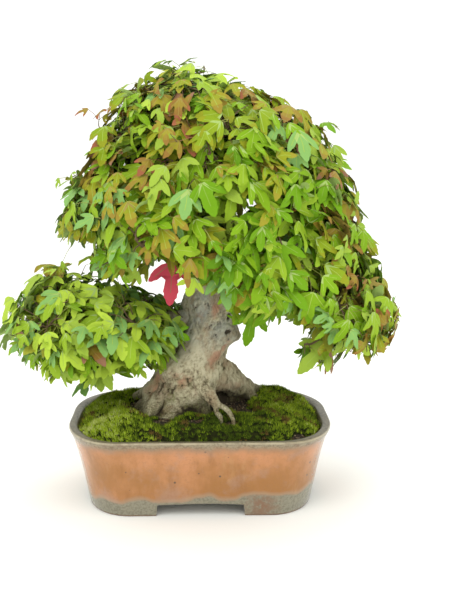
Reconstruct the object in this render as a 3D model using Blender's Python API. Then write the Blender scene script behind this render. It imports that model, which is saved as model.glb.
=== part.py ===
"""A trident maple grown as a bonsai, standing in its glazed pot on a bed of moss.

Metres, +Z up, +X to the viewer's right, +Y away from the viewer. Everything is laid out from the
middle of the pot on the surface that it stands on, and at the end the whole tree is moved so
that the middle of its own box is over the origin.
"""

import math
import random

import bmesh
import bpy
from mathutils import Matrix, Vector
from mathutils.bvhtree import BVHTree

GAP = 0.0003  # left between pieces that rest on each other

# Pot: a rounded rectangle in plan, flaring to its rim, on four corner feet
POT_HALF_LENGTH = 0.150
POT_HALF_WIDTH = 0.105
POT_CORNER = 0.057
CORNER_TIGHTENS = 0.6  # of an inset, how much the corner's radius loses
POT_HEIGHT = 0.092
WALL = 0.008
EDGE_ROUND = 0.0018
FLARE = ((0.000, -0.0225), (0.007, -0.0205), (0.028, -0.0165), (0.050, -0.0125), (0.072, -0.0070),
         (0.086, -0.0020))  # height, and how far the wall stands in from the rim there
FOOT_HEIGHT = 0.013
FOOT_THICKNESS = 0.014
FLOOR_TOP = 0.023
FRONT_ARCH_HALF = 0.048
SIDE_ARCH_HALF = 0.030
WALL_BENDS = (0.050, 0.072)  # heights at which the inner wall changes its slope
CORNER_STEPS = 7

# Soil and the moss that lies on it
SOIL_EDGE = 0.083
SOIL_TOP = 0.098
SEAT_HALF_LENGTH = 0.092
SEAT_HALF_WIDTH = 0.066
SEAT_CORNER = 0.060
SEAT_SHIFT = 0.006
SOIL_STEPS = 3  # points along each straight side of the soil, between two corners
SOIL_SHARES = (0.0, 0.30, 0.65, 1.0)  # where its rings lie, from the wall to the seat
MOSS_EDGE = 0.0018
MOSS_RISE = 0.0075
MOSS_CLEAR = 0.0055
MOSS_FROM_WALL = 0.10
MOSS_LUMPS = (0.75, 1.15)
MOSS_FULLNESS = 0.6
MOSS_PADS = {"moss_right": (-44, 26), "moss_back": (34, 146), "moss_left": (150, 226),
             "moss_front": (232, 312)}  # the directions in degrees between which each pad lies

# Trunk: height, centre and radius up its length
TRUNK = (
    (0.0983, -0.014, 0.012, 0.0450), (0.108, -0.014, 0.012, 0.0425), (0.120, -0.014, 0.012, 0.0415),
    (0.134, -0.013, 0.012, 0.0410), (0.148, -0.012, 0.011, 0.0405), (0.160, -0.008, 0.010, 0.0380),
    (0.172, -0.002, 0.009, 0.0340), (0.186, 0.005, 0.007, 0.0310), (0.200, 0.010, 0.006, 0.0292),
    (0.216, 0.013, 0.005, 0.0280), (0.234, 0.014, 0.005, 0.0280), (0.250, 0.013, 0.005, 0.0265),
    (0.266, 0.011, 0.005, 0.0225), (0.286, 0.008, 0.006, 0.0180), (0.312, 0.005, 0.007, 0.0150),
    (0.342, 0.001, 0.008, 0.0122), (0.374, -0.005, 0.009, 0.0096), (0.406, -0.010, 0.008, 0.0070),
    (0.436, -0.012, 0.006, 0.0042),
)
TRUNK_SIDES = 20
ROOT_CURVE = 1.7  # how fast a root's ridge dies away up the trunk
ROOTS = (  # direction in degrees, reach past the trunk, angular width, height of its ridge
    (8, 0.046, 13, 0.046), (-47, 0.026, 11, 0.030), (-98, 0.010, 24, 0.020),
    (-150, 0.012, 20, 0.050), (172, 0.016, 18, 0.034), (118, 0.022, 16, 0.032), (62, 0.020, 15, 0.030),
)
KNOBS = (  # height, direction in degrees, how far it stands out, angular width, height spread
    (0.190, -12, 0.0135, 17, 0.0085), (0.232, -100, 0.0035, 26, 0.012), (0.150, -122, 0.0035, 22, 0.016),
    (0.214, 150, 0.0050, 26, 0.014),
)

# Boughs: height on the trunk, thickness there, and the height of the arch in their middle
BOUGH_SIDES = 7
BOUGH_RINGS = 6
TIP_SHARE = 0.42  # a bough's tip is this thick, as a share of its foot

# Foliage: centre and half sizes of each mass's space, and its bough's foot height, thickness, arch
MASSES = {
    "apex": ((-0.020, 0.000, 0.454), (0.100, 0.095, 0.058), None),
    "upper_left": ((-0.086, 0.000, 0.398), (0.068, 0.100, 0.076), (0.345, 0.0062, 0.004)),
    "upper_right": ((0.098, 0.004, 0.392), (0.088, 0.105, 0.080), (0.352, 0.0064, 0.006)),
    "upper_front": ((0.008, -0.082, 0.386), (0.090, 0.074, 0.074), (0.334, 0.0060, 0.004)),
    "upper_back": ((0.006, 0.084, 0.390), (0.092, 0.074, 0.074), (0.338, 0.0060, 0.004)),
    "middle_left": ((-0.126, 0.002, 0.318), (0.072, 0.105, 0.074), (0.286, 0.0090, 0.006)),
    "middle_front_left": ((-0.050, -0.094, 0.306), (0.080, 0.070, 0.074), (0.272, 0.0076, 0.006)),
    "middle_front_right": ((0.070, -0.094, 0.296), (0.084, 0.070, 0.080), (0.266, 0.0080, 0.006)),
    "middle_right": ((0.150, 0.004, 0.314), (0.076, 0.105, 0.084), (0.300, 0.0090, 0.008)),
    "middle_back": ((0.006, 0.096, 0.306), (0.130, 0.076, 0.076), (0.286, 0.0085, 0.006)),
    "lower_right_front": ((0.140, -0.052, 0.214), (0.094, 0.080, 0.082), (0.240, 0.0095, 0.008)),
    "lower_right_back": ((0.146, 0.056, 0.222), (0.094, 0.080, 0.076), (0.250, 0.0095, 0.008)),
    "lower_left_outer": ((-0.176, 0.000, 0.184), (0.070, 0.098, 0.078), (0.208, 0.0110, 0.010)),
    "lower_left_inner": ((-0.078, -0.004, 0.184), (0.082, 0.098, 0.086), (0.168, 0.0075, 0.002)),
}
CROWN_OUTLINE = (  # height, how far left and right the crown reaches there, and its half depth
    (0.142, 0.132, 0.168, 0.050), (0.155, 0.105, 0.216, 0.090), (0.170, 0.084, 0.230, 0.112),
    (0.190, 0.055, 0.235, 0.125), (0.215, 0.030, 0.232, 0.135), (0.238, -0.010, 0.226, 0.144),
    (0.255, -0.115, 0.219, 0.148), (0.272, -0.160, 0.213, 0.150), (0.300, -0.176, 0.204, 0.150),
    (0.330, -0.170, 0.192, 0.148), (0.365, -0.158, 0.182, 0.142), (0.385, -0.132, 0.170, 0.134),
    (0.405, -0.125, 0.160, 0.126), (0.425, -0.125, 0.142, 0.114), (0.445, -0.112, 0.115, 0.100),
    (0.465, -0.094, 0.066, 0.078), (0.480, -0.056, 0.034, 0.050), (0.494, -0.030, 0.004, 0.022),
)
LOWER_LEFT_OUTLINE = (
    (0.100, -0.150, -0.095, 0.030), (0.120, -0.186, -0.074, 0.052), (0.135, -0.202, -0.058, 0.070),
    (0.152, -0.220, -0.040, 0.082), (0.174, -0.234, -0.015, 0.088), (0.192, -0.230, 0.000, 0.088),
    (0.211, -0.212, -0.004, 0.086), (0.229, -0.198, -0.030, 0.074), (0.242, -0.186, -0.080, 0.056),
    (0.252, -0.164, -0.120, 0.030),
)
CROWN_CENTRE = Vector((0.012, 0.006, 0.235))
LOWER_LEFT_CENTRE = Vector((-0.105, 0.004, 0.110))
TIP_INSET = 0.34  # how far short of its mass's middle a bough ends, as a share of that half size

# Twigs and leaves
SHOOTS = 6
SHOOT_DEPTH = 0.56  # how far out of its mass a shoot ends, as a share of the half size
SHOOT_TURN = 0.35
SHOOT_SHRINKS = (1.0, 0.85, 0.7, 0.55)  # tried in turn, until a shoot is clear of all else
SHOOT_TAPER = 0.65
SHOOT_ROOTS = (0.25, 0.70)  # first and further share of the stem that shoots leave from
MASS_LEAVES = 28
LEAF_TRIES = 14000
LEAVES_APART = 0.0205
SHELL = 0.35  # leaves stand only further out than this in the crown's own outline
SHELL_REACH = 0.045  # how far above and below a leaf the outline is looked up too
LEAF_LENGTH = 0.052
LEAF_SIZES = (0.85, 1.1)
LEAF_THICKNESS = 0.0014
LEAF_RIM = ((0.04, 0.0), (0.50, 0.47), (0.17, 0.52), (0.0, 1.0), (-0.17, 0.52), (-0.50, 0.47),
            (-0.04, 0.0))  # across and along the leaf, as shares of its length
LEAF_HEART = 0.07
LEAF_MIDDLE = 0.42
LEAF_STEEP = 0.7  # a leaf faces outwards, with this much of the way up or down
LEAF_LIFT = 0.15
LEAF_SCATTER = 0.5
LEAF_TURN = 50  # degrees to either side of straight downhill
STALK_REACH = 0.046
STALK_SEATS = (0.15, 0.96)  # the stretch of a shoot that stalks come from
STALK_BEND = 0.08
STALK_RADIUS = 0.0006
TIP_DROOP = 0.16
STEM_RADIUS = 0.0028
STEM_TAPER = (1.0, 0.8, 0.5)
STEM_BEND = 0.45  # how far up its mass the stem bends, as a share of the half size
STEM_INWARDS = 0.4
STEM_TOP = 0.63
TWIG_RADIUS = 0.0022
LEAF_SLACK = 0.16  # a leaf's tips may reach this share of a mass's size over the border to the next

GOLDEN_ANGLE = math.pi * (3 - math.sqrt(5))
SHARP_ANGLE = math.radians(42)


def clear_scene():
    for obj in list(bpy.data.objects):
        bpy.data.objects.remove(obj)


def finish(name, colour, roughness, metallic=0.0):
    material = bpy.data.materials.new(name)
    material.use_nodes = True
    shader = material.node_tree.nodes["Principled BSDF"]
    shader.inputs["Base Color"].default_value = (*colour, 1)
    shader.inputs["Roughness"].default_value = roughness
    shader.inputs["Metallic"].default_value = metallic
    return material


def add_object(name, mesh, material=None):
    obj = bpy.data.objects.new(name, mesh)
    bpy.context.scene.collection.objects.link(obj)
    if material:
        mesh.materials.append(material)
    return obj


def mesh_from(name, points, faces):
    """A mesh of these points and faces, all faces turned outwards."""
    mesh = bpy.data.meshes.new(name)
    mesh.from_pydata([tuple(p) for p in points], [], faces)
    shell = bmesh.new()
    shell.from_mesh(mesh)
    bmesh.ops.recalc_face_normals(shell, faces=shell.faces)
    shell.to_mesh(mesh)
    shell.free()
    return mesh


def loft(name, rings):
    """A closed solid through rings of equally many points, with flat ends."""
    sides = len(rings[0])
    points = [p for ring in rings for p in ring]
    faces = [tuple(range(sides)), tuple(range(len(points) - sides, len(points)))]
    for lower in range(0, len(points) - sides, sides):
        for i in range(sides):
            after = (i + 1) % sides
            faces.append((lower + i, lower + after, lower + sides + after, lower + sides + i))
    return mesh_from(name, points, faces)


def apply_modifiers(obj):
    graph = bpy.context.evaluated_depsgraph_get()
    made = bpy.data.meshes.new_from_object(obj.evaluated_get(graph))
    obj.modifiers.clear()
    obj.data = made


def boolean(obj, other, operation, solver="EXACT"):
    """Cuts obj by, or joins it with, another object or every object of a collection, and removes those."""
    step = obj.modifiers.new(operation.lower(), "BOOLEAN")
    step.operation = operation
    step.solver = solver
    others = [other]
    if isinstance(other, bpy.types.Collection):
        step.operand_type = "COLLECTION"
        step.collection = other
        others = list(other.objects)
    else:
        step.object = other
    bpy.context.view_layer.update()
    apply_modifiers(obj)
    for used in others:
        bpy.data.objects.remove(used)
    if isinstance(other, bpy.types.Collection):
        bpy.data.collections.remove(other)


# Pot


def rounded_rectangle(half_length, half_width, corner, height, shift=0.0, side_steps=0):
    """Points of a rounded rectangle at this height, the same number for every size."""
    points = []
    for quarter in range(4):
        towards_x = 1 if quarter in (0, 3) else -1
        towards_y = 1 if quarter in (0, 1) else -1
        for step in range(CORNER_STEPS + 1):
            turn = math.radians(90) * (quarter + step / CORNER_STEPS)
            points.append(Vector((
                towards_x * (half_length - corner) + corner * math.cos(turn),
                towards_y * (half_width - corner) + corner * math.sin(turn) + shift,
                height,
            )))
        after = points[-1].copy()
        along_x = quarter in (0, 2)
        straight = Vector((-2 * after.x, 0, 0)) if along_x else Vector((0, -2 * (after.y - shift), 0))
        points += [after + straight * (i + 1) / (side_steps + 1) for i in range(side_steps)]
    return points


def pot_ring(inset, height, side_steps=0):
    """The pot's plan, moved in from the rim by this much."""
    return rounded_rectangle(POT_HALF_LENGTH - inset, POT_HALF_WIDTH - inset,
                             POT_CORNER - CORNER_TIGHTENS * inset, height, 0, side_steps)


def flare_at(height):
    """How far the outer wall stands in from the rim at this height."""
    for (low, inset_low), (high, inset_high) in zip(FLARE, FLARE[1:]):
        if height <= high:
            share = (height - low) / (high - low)
            return -(inset_low + share * (inset_high - inset_low))
    return 0.0


def box_mesh(name, low, high):
    shell = bmesh.new()
    bmesh.ops.create_cube(shell, size=1)
    middle = [(a + b) / 2 for a, b in zip(low, high)]
    size = [b - a for a, b in zip(low, high)]
    bmesh.ops.transform(shell, verts=shell.verts,
                        matrix=Matrix.Translation(middle) @ Matrix.Diagonal((*size, 1)))
    mesh = bpy.data.meshes.new(name)
    shell.to_mesh(mesh)
    shell.free()
    return mesh


def inner_wall_ring(height):
    """The plan of the pot's inside at this height."""
    return pot_ring(flare_at(height) + WALL, height)


def make_pot(material):
    outer = [pot_ring(-inset, height) for height, inset in FLARE]
    outer += [pot_ring(0, POT_HEIGHT - EDGE_ROUND), pot_ring(EDGE_ROUND, POT_HEIGHT)]
    pot = add_object("pot", loft("pot", outer), material)
    hollow = [inner_wall_ring(h) for h in (FLOOR_TOP, *WALL_BENDS, POT_HEIGHT - EDGE_ROUND)]
    hollow.append(pot_ring(WALL - EDGE_ROUND, POT_HEIGHT))
    hollow.append(pot_ring(WALL - EDGE_ROUND, POT_HEIGHT + WALL))
    boolean(pot, add_object("hollow", loft("hollow", hollow)), "DIFFERENCE")
    under = [pot_ring(flare_at(0) + FOOT_THICKNESS, z) for z in (-WALL, FOOT_HEIGHT)]
    boolean(pot, add_object("under", loft("under", under)), "DIFFERENCE")
    reach = POT_HALF_LENGTH * 2
    front_arch = box_mesh("front_arch", (-FRONT_ARCH_HALF, -reach, -WALL),
                          (FRONT_ARCH_HALF, reach, FOOT_HEIGHT))
    boolean(pot, add_object("front_arch", front_arch), "DIFFERENCE")
    side_arch = box_mesh("side_arch", (-reach, -SIDE_ARCH_HALF, -WALL),
                         (reach, SIDE_ARCH_HALF, FOOT_HEIGHT))
    boolean(pot, add_object("side_arch", side_arch), "DIFFERENCE")
    return pot


# Soil and moss


def soil_rings():
    """Rings over the top of the soil, from the pot's wall in to the flat seat under the tree."""
    edge = pot_ring(flare_at(SOIL_EDGE) + WALL + GAP, SOIL_EDGE, SOIL_STEPS)
    seat = rounded_rectangle(SEAT_HALF_LENGTH, SEAT_HALF_WIDTH, SEAT_CORNER, SOIL_TOP, SEAT_SHIFT, SOIL_STEPS)
    rings = []
    for share in SOIL_SHARES:
        swell = math.sin(share * math.pi / 2)
        rings.append([Vector((*a.lerp(b, share).xy, SOIL_EDGE + (SOIL_TOP - SOIL_EDGE) * swell))
                      for a, b in zip(edge, seat)])
    return rings


def stitched(lower, upper, count, closed=True):
    """Triangles between two rings of points, given where each ring starts in the list."""
    faces = []
    for i in range(count if closed else count - 1):
        after = (i + 1) % count
        faces.append((lower + i, lower + after, upper + after))
        faces.append((lower + i, upper + after, upper + i))
    return faces


def make_soil(material):
    wall = [pot_ring(flare_at(h) + WALL + GAP, h, SOIL_STEPS) for h in WALL_BENDS]
    bottom = pot_ring(flare_at(FLOOR_TOP) + WALL + GAP, FLOOR_TOP + GAP, SOIL_STEPS)
    rings = [bottom, *wall, *soil_rings()]
    sides = len(bottom)
    points = [p for ring in rings for p in ring]
    faces = [tuple(range(sides)), tuple(range(len(points) - sides, len(points)))]
    for i in range(len(rings) - 1):
        faces += stitched(i * sides, (i + 1) * sides, sides)
    return add_object("soil", mesh_from("soil", points, faces), material)


def spokes_between(ring, first, last):
    """Which points of a ring lie between two directions in degrees, in order round the ring."""
    turns = [(math.degrees(math.atan2(p.y, p.x)) - first) % 360 for p in ring]
    return sorted((i for i in range(len(ring)) if turns[i] <= last - first), key=lambda i: turns[i])


def make_moss(name, first, last, material, seed):
    """A cushion over one side of the soil, thick in its middle and thin at its edge."""
    dice = random.Random(seed)
    rings = soil_rings()
    spokes = spokes_between(rings[0], first, last)
    beds = [[ring[i] for i in spokes] for ring in rings]
    beds[0] = [p.lerp(q, MOSS_FROM_WALL) for p, q in zip(beds[0], beds[1])]
    inner = []
    for p in beds[-1]:
        around = math.atan2(p.y - TRUNK[0][2], p.x - TRUNK[0][1])
        reach = trunk_radius(around, TRUNK[0][0]) + MOSS_CLEAR
        inner.append(Vector((TRUNK[0][1] + reach * math.cos(around),
                             TRUNK[0][2] + reach * math.sin(around), SOIL_TOP)))
    beds.append([p.lerp(q, 0.5) for p, q in zip(beds[-1], inner)])
    beds.append(inner)
    across, along = len(beds), len(spokes)
    below = [p + Vector((0, 0, GAP)) for bed in beds for p in bed]
    above = []
    for i in range(across):
        for j in range(along):
            swell = math.sin(math.pi * i / (across - 1)) * math.sin(math.pi * j / (along - 1))
            lump = dice.uniform(*MOSS_LUMPS)
            rise = MOSS_EDGE + MOSS_RISE * lump * swell ** MOSS_FULLNESS
            above.append(below[i * along + j] + Vector((0, 0, rise)))
    faces = []
    for i in range(across - 1):
        faces += stitched(i * along, (i + 1) * along, along, closed=False)
        faces += stitched(len(below) + i * along, len(below) + (i + 1) * along, along, closed=False)
    rim = [*range(along), *(i * along + along - 1 for i in range(1, across)),
           *(across * along - 2 - i for i in range(along - 1)),
           *(i * along for i in range(across - 2, 0, -1))]
    for a, b in zip(rim, rim[1:] + rim[:1]):
        faces.append((a, b, len(below) + b, len(below) + a))
    return add_object(name, mesh_from(name, below + above, faces), material)


# Trunk


def angle_between(a, b):
    """The shorter way round from one direction to another, in radians."""
    return abs((a - b + math.pi) % (2 * math.pi) - math.pi)


def trunk_at(height):
    """(centre, radius) of the trunk at this height."""
    for low, high in zip(TRUNK, TRUNK[1:]):
        if height <= high[0]:
            share = (height - low[0]) / (high[0] - low[0])
            x, y, radius = (a + share * (b - a) for a, b in zip(low[1:], high[1:]))
            return Vector((x, y, height)), radius
    return Vector((TRUNK[-1][1], TRUNK[-1][2], height)), TRUNK[-1][3]


def trunk_radius(around, height):
    """How far the trunk's skin stands from its middle in this direction, with its roots and knobs."""
    _, radius = trunk_at(height)
    for towards, reach, width, ridge in ROOTS:
        lift = max(0.0, 1 - (height - TRUNK[0][0]) / ridge)
        off = angle_between(around, math.radians(towards)) / math.radians(width)
        radius += reach * lift ** ROOT_CURVE * math.exp(-off * off)
    for at, towards, stands_out, width, spread in KNOBS:
        off = angle_between(around, math.radians(towards)) / math.radians(width)
        rise = (height - at) / spread
        radius += stands_out * math.exp(-off * off - rise * rise)
    return radius


def trunk_rings(grown=0.0):
    rings = []
    for height, x, y, _ in TRUNK:
        ring = []
        for i in range(TRUNK_SIDES):
            around = 2 * math.pi * i / TRUNK_SIDES
            reach = trunk_radius(around, height) + grown
            ring.append(Vector((x + reach * math.cos(around), y + reach * math.sin(around), height)))
        rings.append(ring)
    return rings


def make_trunk(material):
    return add_object("trunk", loft("trunk", trunk_rings()), material)


# Boughs


def tube_rings(path, radii, sides):
    """Rings round a path, each square to it, all turned alike."""
    rings = []
    side = None
    for i, (point, radius) in enumerate(zip(path, radii)):
        along = (path[min(i + 1, len(path) - 1)] - path[max(i - 1, 0)]).normalized()
        side = along.orthogonal() if side is None else side - side.dot(along) * along
        side.normalize()
        other = along.cross(side)
        rings.append([point + radius * (side * math.cos(2 * math.pi * k / sides)
                                        + other * math.sin(2 * math.pi * k / sides))
                      for k in range(sides)])
    return rings


def bough_path(name):
    """The bough's middle line, from the trunk's middle to where it enters its mass."""
    centre, half, limb = MASSES[name]
    foot_height, _, arch = limb
    foot, _ = trunk_at(foot_height)
    centre = Vector(centre)
    inward = (foot - centre).normalized()
    inset = TIP_INSET / math.sqrt(sum((c / h) ** 2 for c, h in zip(inward, half)))
    tip = centre + inward * inset
    middle = foot.lerp(tip, 0.5) + Vector((0, 0, arch))
    path = []
    for i in range(BOUGH_RINGS):
        t = i / (BOUGH_RINGS - 1)
        path.append(foot * (1 - t) ** 2 + middle * 2 * t * (1 - t) + tip * t ** 2)
    return path


def make_bough(name, material):
    path = bough_path(name)
    thickness = MASSES[name][2][1]
    radii = [thickness * (1 - (1 - TIP_SHARE) * i / (BOUGH_RINGS - 1)) for i in range(BOUGH_RINGS)]
    bough = add_object("bough_" + name, loft(name, tube_rings(path, radii, BOUGH_SIDES)), material)
    boolean(bough, add_object("trunk_space", loft("trunk_space", trunk_rings(GAP))), "DIFFERENCE")
    return bough


# Foliage


def spread_points(centre, half, count, depth, dice):
    """Points spread evenly over an ellipsoid this deep inside the one of these half sizes."""
    points = []
    for i in range(count):
        level = 1 - 2 * (i + 0.5) / count
        ring = math.sqrt(1 - level * level)
        turn = i * GOLDEN_ANGLE + dice.uniform(-SHOOT_TURN, SHOOT_TURN)
        offset = Vector((ring * math.cos(turn), ring * math.sin(turn), level)) * depth
        points.append(Vector(centre) + Vector(o * h for o, h in zip(offset, half)))
    return points


def share_of(point, name):
    """How far out of a mass's space a point lies: under 1 is inside."""
    centre, half, _ = MASSES[name]
    return math.sqrt(sum(((p - c) / h) ** 2 for p, c, h in zip(point, centre, half)))


def is_low_left(name):
    return name.startswith("lower_left")


def outline_share(point, outline):
    """How far out in an outline, an ellipse in plan at every height, a point lies: under 1 is inside."""
    for low, high in zip(outline, outline[1:]):
        if low[0] <= point.z < high[0]:
            share = (point.z - low[0]) / (high[0] - low[0])
            left, right, depth = (a + share * (b - a) for a, b in zip(low[1:], high[1:]))
            across = (2 * point.x - left - right) / (right - left)
            return across ** 2 + (point.y / depth) ** 2
    return 2.0


def outline_of(name):
    return LOWER_LEFT_OUTLINE if is_low_left(name) else CROWN_OUTLINE


def in_own_space(point, name, slack=0.0):
    if outline_share(point, outline_of(name)) > 1:
        return False
    own = share_of(point, name)
    return own < 1 and all(share_of(point, other) > own - slack for other in MASSES if other != name)


def near_surface(point, name):
    """Whether a point is in the outer shell of the crown, where leaves get light."""
    outline = outline_of(name)
    above = outline_share(point + Vector((0, 0, SHELL_REACH)), outline)
    below = outline_share(point - Vector((0, 0, SHELL_REACH)), outline)
    return max(outline_share(point, outline), above, below) > SHELL


def dome_of(name):
    return LOWER_LEFT_CENTRE if is_low_left(name) else CROWN_CENTRE


def leaf_frame(point, name, dice):
    """(direction to the leaf's tip, its face): it hangs down the outside of the crown like a shingle."""
    outwards = point - dome_of(name)
    face = Vector((outwards.x, outwards.y, LEAF_STEEP * outwards.z)).normalized() + Vector((0, 0, LEAF_LIFT))
    face += Vector(dice.uniform(-LEAF_SCATTER, LEAF_SCATTER) for _ in range(3))
    face.normalize()
    downhill = Vector((face.x, face.y, -1.0))
    downhill = (downhill - downhill.dot(face) * face).normalized()
    return Matrix.Rotation(math.radians(dice.uniform(-LEAF_TURN, LEAF_TURN)), 3, face) @ downhill, face


def leaf_mesh(root, base, along, face, length):
    """A thin three-lobed blade, thickest at its heart, its tips bent down, on a three-sided stalk."""
    side = along.cross(face)
    rim = []
    for x, y in LEAF_RIM:
        droop = TIP_DROOP * (x * x + y * y)
        rim.append(base + length * (side * x + along * y - face * droop))
    heart = base + length * (along * LEAF_HEART - face * TIP_DROOP * LEAF_HEART ** 2)
    above = heart + face * LEAF_THICKNESS / 2
    below = heart - face * LEAF_THICKNESS / 2
    stalk_way = (base - root).normalized()
    across = (side - side.dot(stalk_way) * stalk_way).normalized()
    stalk = [root + STALK_RADIUS * way for way in (across, -across, stalk_way.cross(across))]
    points = [*rim, above, below, *stalk]
    right, left = 0, len(rim) - 1
    above, below, stalk_right, stalk_left, stalk_under = range(len(rim), len(points))
    faces = [(i, i + 1, above) for i in range(left)] + [(i + 1, i, below) for i in range(left)]
    faces += [(left, right, above), (stalk_right, stalk_left, stalk_under),
              (stalk_left, stalk_right, right, left), (stalk_right, stalk_under, below, right),
              (stalk_under, stalk_left, left, below)]
    return mesh_from("leaf", points, faces)


def seat_for(base, along, face, shoots):
    """(place on the nearest shoot that a stalk can come from, that shoot), or None."""
    found = []
    for root, tip, shoot in shoots:
        seat = nearest_on(base, root, tip)
        stalk = base - seat
        way = stalk.normalized()
        if stalk.length < STALK_REACH and way.dot(along) > STALK_BEND and way.dot(face) > -STALK_BEND:
            found.append((stalk.length, shoot, seat))
    if not found:
        return None
    _, shoot, seat = min(found, key=lambda near: near[0])
    return seat, shoot


def nearest_on(point, start, end):
    """The nearest place to a point on a shoot's middle line, away from the shoot's two ends."""
    along = end - start
    share = (point - start).dot(along) / along.length_squared
    return start + along * min(max(share, STALK_SEATS[0]), STALK_SEATS[1])


def twig_mesh(start, end, thick, thin):
    along = (end - start).normalized()
    rings = tube_rings([start - along * thick * 0.3, end], [thick, thin], 3)
    return loft("twig", rings)


def tree_of(mesh):
    shell = bmesh.new()
    shell.from_mesh(mesh)
    bmesh.ops.triangulate(shell, faces=shell.faces)
    found = BVHTree.FromBMesh(shell)
    shell.free()
    return found


def box_of(mesh):
    corners = [v.co for v in mesh.vertices]
    return ([min(c[i] for c in corners) for i in range(3)], [max(c[i] for c in corners) for i in range(3)])


def keep_one_body(mesh):
    """Keeps the largest body: a loose scrap is dropped, and a hollow that fusing sealed is filled."""
    shell = bmesh.new()
    shell.from_mesh(mesh)
    bodies = []
    unseen = set(shell.verts)
    while unseen:
        body = set()
        edge_of_body = [unseen.pop()]
        while edge_of_body:
            vert = edge_of_body.pop()
            body.add(vert)
            joined = {edge.other_vert(vert) for edge in vert.link_edges} & unseen
            unseen -= joined
            edge_of_body += joined
        bodies.append(body)
    bodies.sort(key=len)
    for body in bodies[:-1]:
        bmesh.ops.delete(shell, geom=list(body), context="VERTS")
    shell.to_mesh(mesh)
    shell.free()


class Taken:
    """Every solid so far, to ask whether a new one would touch any of them."""

    def __init__(self):
        self.solids = []

    def add(self, mesh, owner):
        self.solids.append((*box_of(mesh), tree_of(mesh), owner))

    def touches(self, mesh, besides):
        low, high = box_of(mesh)
        tree = None
        for other_low, other_high, other, owner in self.solids:
            apart = any(low[i] > other_high[i] or high[i] < other_low[i] for i in range(3))
            if apart or owner.startswith(besides):
                continue
            tree = tree or tree_of(mesh)
            if tree.overlap(other):
                return True
        return False


def stem_start(name):
    """(where a mass's stem begins, the way it points), just clear of the limb that carries it."""
    if MASSES[name][2] is None:
        tip, _ = trunk_at(TRUNK[-1][0])
        return tip + Vector((0, 0, GAP)), Vector((0, 0, 1))
    path = bough_path(name)
    along = (path[-1] - path[-2]).normalized()
    return path[-1] + along * GAP, along


def make_mass(name, taken, material, seed):
    """One stem, shoots from it to points spread through the mass's space, and leaves on the shoots."""
    dice = random.Random(seed)
    centre, half, _ = MASSES[name]
    start, along = stem_start(name)
    reach = math.sqrt(sum((a * h) ** 2 for a, h in zip(along, half)))
    bend = start + along * reach * STEM_BEND
    inwards = Vector(centre) - start
    top = start + inwards * STEM_INWARDS + inwards.normalized() * reach * STEM_TOP
    stem_path = [start, bend, top]
    stem_radii = [STEM_RADIUS * share for share in STEM_TAPER]
    mass = add_object("leaves_" + name, loft(name, tube_rings(stem_path, stem_radii, 5)), material)
    taken.add(mass.data, name + "_stem")
    parts = bpy.data.collections.new(name)
    bpy.context.scene.collection.children.link(parts)

    def keep(mesh, owner, besides, loose):
        """Adds a piece if its loose points are in this space and it touches nothing else."""
        inside = all(in_own_space(mesh.vertices[i].co, name, LEAF_SLACK) for i in loose)
        if not inside or taken.touches(mesh, besides):
            return False
        taken.add(mesh, owner)
        parts.objects.link(bpy.data.objects.new(owner, mesh))
        return True

    shoots = []
    for i, target in enumerate(spread_points(centre, half, SHOOTS, SHOOT_DEPTH, dice)):
        share = SHOOT_ROOTS[0] + SHOOT_ROOTS[1] * (i + 1) / SHOOTS
        root = bend.lerp(top, (share - 0.5) * 2) if share > 0.5 else start.lerp(bend, share * 2)
        shoot = f"{name}_shoot_{i}"
        for shrink in SHOOT_SHRINKS:
            tip = root.lerp(target, shrink)
            twig = twig_mesh(root, tip, TWIG_RADIUS, TWIG_RADIUS * SHOOT_TAPER)
            if keep(twig, shoot, name + "_s", range(3, 6)):
                shoots.append((root, tip, shoot))
                break
    leaves = []
    for _ in range(LEAF_TRIES):
        offset = Vector(dice.uniform(-1, 1) for _ in range(3))
        middle = Vector(centre) + Vector(o * h for o, h in zip(offset, half))
        crowded = any((middle - other).length < LEAVES_APART for other in leaves)
        if crowded or not in_own_space(middle, name) or not near_surface(middle, name):
            continue
        leaf_along, face = leaf_frame(middle, name, dice)
        length = LEAF_LENGTH * dice.uniform(*LEAF_SIZES)
        base = middle - leaf_along * length * LEAF_MIDDLE
        found = seat_for(base, leaf_along, face, shoots)
        if found is None:
            continue
        seat, shoot = found
        blade = leaf_mesh(seat, base, leaf_along, face, length)
        if keep(blade, f"{name}_leaf_{len(leaves)}", shoot, range(len(LEAF_RIM))):
            leaves.append(middle)
        if len(leaves) == MASS_LEAVES:
            break
    boolean(mass, parts, "UNION", "MANIFOLD")
    keep_one_body(mass.data)
    return mass


def centre_on_origin(objects):
    """Moves everything so that the origin is under the middle of the whole tree's box."""
    corners = [v.co for obj in objects for v in obj.data.vertices]
    shift = Vector((-(max(c[i] for c in corners) + min(c[i] for c in corners)) / 2 for i in range(2)))
    for obj in objects:
        obj.data.transform(Matrix.Translation((shift.x, shift.y, 0)))


def main():
    clear_scene()
    glaze = finish("orange glaze", (0.62, 0.26, 0.09), 0.35)
    earth = finish("soil", (0.035, 0.025, 0.018), 0.95)
    moss = finish("moss", (0.10, 0.17, 0.02), 0.95)
    bark = finish("bark", (0.36, 0.31, 0.23), 0.85)
    leaf = finish("leaf", (0.22, 0.36, 0.04), 0.5)
    objects = [make_pot(glaze), make_soil(earth)]
    for seed, (name, (first, last)) in enumerate(MOSS_PADS.items()):
        objects.append(make_moss(name, first, last, moss, seed))
    objects.append(make_trunk(bark))
    objects += [make_bough(name, bark) for name in MASSES if MASSES[name][2]]
    taken = Taken()
    for obj in objects:
        taken.add(obj.data, obj.name)
    for seed, name in enumerate(MASSES):
        objects.append(make_mass(name, taken, leaf, seed))
    centre_on_origin(objects)
    for obj in objects:
        obj.data.shade_smooth()
        obj.data.set_sharp_from_angle(angle=SHARP_ANGLE)


main()
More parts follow.
